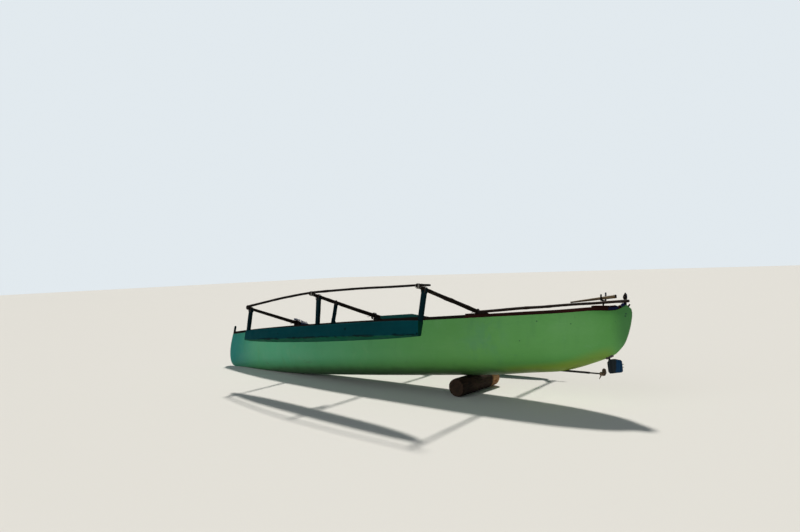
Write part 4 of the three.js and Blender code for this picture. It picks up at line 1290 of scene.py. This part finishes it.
def cord_mesh(lines, radius):
    """Cords along lines. A line of few points is smoothed first."""

    def thickness(share, angle, along):
        return radius * (0.7 if share in (0.0, 1.0) else 1)

    bodies = []
    for number, line in enumerate(lines):
        smooth = line_through(line, max(2 * len(line), 8)) if len(line) < 30 else line
        bodies.append(tube(smooth, thickness, 6, number * 0.37))
    return joined(bodies)


def tie(name, lines, radius, look=ROPE_DARK):
    piece(f"lashing_{name}", cord_mesh(lines, radius), look)


def tail(start, toward, length, droop, seed):
    """A loose end that leaves a knot and hangs over."""
    chance = random.Random(seed)
    toward = toward.normalized()
    line = []
    for i in range(6):
        share = i / 5
        spot = start + toward * (length * share) - UP * (droop * share**2)
        line.append(spot + Vector([chance.uniform(-1, 1) for _ in range(3)]) * length * 0.10 * share)
    return line


def slack_wrap(x, seed):
    """Rope wound slackly round the front boom inside its port root, its last bights laid over the root."""
    chance = random.Random(seed)
    steps = 14
    line = []
    for i in range(BLUE_TURNS * steps + 1):
        angle = 2 * math.pi * i / steps
        y = mix(BLUE_SPAN, i / (BLUE_TURNS * steps))
        slack = BLUE_SLACK * max(0.0, math.sin(angle)) ** 2 * chance.uniform(0.05, 1.0)
        side = BLUE_TIGHT * math.cos(angle) + 0.25 * slack * chance.uniform(-1, 1)
        line.append(Vector((x + side, y, boom_height("front", y) + (BLUE_TIGHT + slack) * math.sin(angle))))
    for bight in range(BLUE_BIGHTS):
        for i in range(6):
            share = i / 5 if bight % 2 == 0 else 1 - i / 5
            y = BLUE_SPAN[1] + 0.012 + 0.100 * share
            across = 0.016 * math.sin(2.1 * bight + 3 * share)
            lift = BLUE_TIGHT + 0.0045 * bight - 0.35 * abs(across) + chance.uniform(0.0, 0.006)
            line.append(Vector((x + across, y, boom_height("front", y) + lift)))
    return line_through(line, 4 * len(line))


def tip_lashing(name, side, seed):
    """Two crossed windings round a boom and the thin pole on it, each with a loose end."""
    x = BOOMS[name][0]
    pole_y, pole_z = next((y, z) for pole_x, y, z in TIP_POLE if abs(pole_x - x) < 0.01)
    low, high = boom_height(name, pole_y) - 0.020, pole_z + 0.014
    half = (high - low) / 2
    centre = Vector((x, side * pole_y, (low + high) / 2))
    lines = []
    for lean in (1, -1):
        stack = Vector((1, lean * side, 0))
        lines.append(winding(centre, stack, half + THIN_CORD, *TIP_WINDING, THIN_CORD, seed + lean))
        start = centre + Vector((lean * 0.012, -side * 0.02, half))
        lines.append(tail(start, Vector((lean, -0.4 * side, 0.5)), 0.045, 0.02, seed + 7 * lean))
    return lines


def root_lashing(name, side, seed):
    """A winding round a boom inside the rail, with loose ends."""
    inside, ends = ROOT_LASHINGS[name]
    x, _, _, root_z = BOOMS[name]
    middle = Vector((x, side * (BOOM_ROOT_Y[name] - inside), root_z - 0.010))
    if name == "rear":
        lines = [winding(middle + UP * 0.004, Vector((1, side, 0)), *ROOT_WINDING_REAR, ROOT_CORD, 63)]
    else:
        lines = [winding(middle, Vector((0, side, 0)), *ROOT_WINDING, ROOT_CORD, seed + 60)]
    for k in range(ends):
        reach = Vector((0.5 - 0.45 * k, side * (1.0 - 0.2 * k), 0.15 - 0.25 * (k % 2)))
        start = middle + Vector((0.02 - 0.012 * k, side * 0.02, 0.030 - 0.022 * k))
        lines.append(tail(start, reach, 0.12 - 0.02 * k, 0.03, seed + 90 + 5 * k))
    return lines


def make_lashings():
    for index, (side_name, side) in enumerate(SIDES.items()):
        for number, name in enumerate(BOOMS):
            seed = 10 * index + number
            look = ROPE_DARK if name == "front" else ROPE_PALE
            tie(f"tip_{name}_{side_name}", tip_lashing(name, side, seed), THIN_CORD, look)
            tie(f"root_{name}_{side_name}", root_lashing(name, side, seed), ROOT_CORD)
        for number, (name, (top_y, *_)) in enumerate(POSTS.items()):
            centre = Vector((BOOMS[name][0], side * top_y, boom_height(name, top_y) - 0.014))
            lines = []
            for lean in (1, -1):
                stack = Vector((1, lean * side, 0))
                lines.append(winding(centre, stack, *POST_WINDING, THIN_CORD, 30 + number + lean))
            tie(f"post_{name}_{side_name}", lines, THIN_CORD)
        top_y = CROOK[0][0]
        centre = Vector((BOOMS["mid"][0], side * top_y, boom_height("mid", top_y) - 0.012))
        line = winding(centre, Vector((1, side, 0)), *CROOK_WINDING, THIN_CORD, 47)
        tie(f"crook_{side_name}", [line], THIN_CORD)
    tie("blue_rope", [slack_wrap(BOOMS["front"][0], 3)], BLUE_ROPE, ROPE_BLUE)


# Floor, lights and camera


def make_stage():
    bpy.ops.mesh.primitive_plane_add(size=160)
    floor = bpy.context.object
    floor.name = "floor"
    floor.data.materials.append(Look("floor_pale", 0.9, 0.1).finish((0.70, 0.685, 0.655)))

    world = bpy.data.worlds.new("studio")
    bpy.context.scene.world = world
    world.use_nodes = True
    tree = world.node_tree
    lamp = tree.nodes["Background"]
    lamp.inputs["Color"].default_value = (0.80, 0.92, 1.0, 1.0)
    lamp.inputs["Strength"].default_value = 0.15
    shown = tree.nodes.new("ShaderNodeBackground")
    shown.inputs["Color"].default_value = (0.76, 0.82, 0.86, 1.0)
    rays = tree.nodes.new("ShaderNodeLightPath")
    both = tree.nodes.new("ShaderNodeMixShader")
    tree.links.new(rays.outputs["Is Camera Ray"], both.inputs[0])
    tree.links.new(lamp.outputs[0], both.inputs[1])
    tree.links.new(shown.outputs[0], both.inputs[2])
    tree.links.new(both.outputs[0], tree.nodes["World Output"].inputs["Surface"])

    add_sun("key", LIGHT_TRAVEL, 3.5, 5, (1.0, 0.965, 0.90))
    add_sun("fill", FILL_TRAVEL, 1.05, 60, (0.93, 0.97, 1.0))


def add_sun(name, travel, energy, angle, colour):
    sun = bpy.data.lights.new(name, "SUN")
    sun.energy = energy
    sun.angle = math.radians(angle)
    sun.color = colour
    lamp = bpy.data.objects.new(name, sun)
    lamp.rotation_mode = "QUATERNION"
    lamp.rotation_quaternion = (BOAT.to_3x3() @ travel).normalized().to_track_quat("-Z", "Y")
    bpy.context.scene.collection.objects.link(lamp)


def make_camera():
    heading, rise, roll = (math.radians(v) for v in (CAMERA_HEADING, CAMERA_RISE, CAMERA_ROLL))
    ahead = Vector((math.cos(rise) * math.cos(heading), math.cos(rise) * math.sin(heading), math.sin(rise)))
    right = ahead.cross(UP).normalized()
    up = right.cross(ahead)
    right, up = right * math.cos(roll) + up * math.sin(roll), up * math.cos(roll) - right * math.sin(roll)
    turn = Matrix((right, up, -ahead)).transposed().to_4x4()
    data = bpy.data.cameras.new("camera")
    data.sensor_width = 36
    data.lens = CAMERA_LENS
    data.clip_end = 400
    camera = bpy.data.objects.new("camera", data)
    bpy.context.scene.collection.objects.link(camera)
    camera.matrix_world = BOAT @ Matrix.Translation(CAMERA_AT) @ turn
    bpy.context.scene.camera = camera


make_camera()
make_stage()
make_hull()
make_rails()
make_ends()
make_booms()
make_posts()
make_floats()
make_fittings()
make_drive()
make_steering()
make_stowed()
make_log()
make_lashings()

bpy.context.scene.view_settings.view_transform = "Standard"
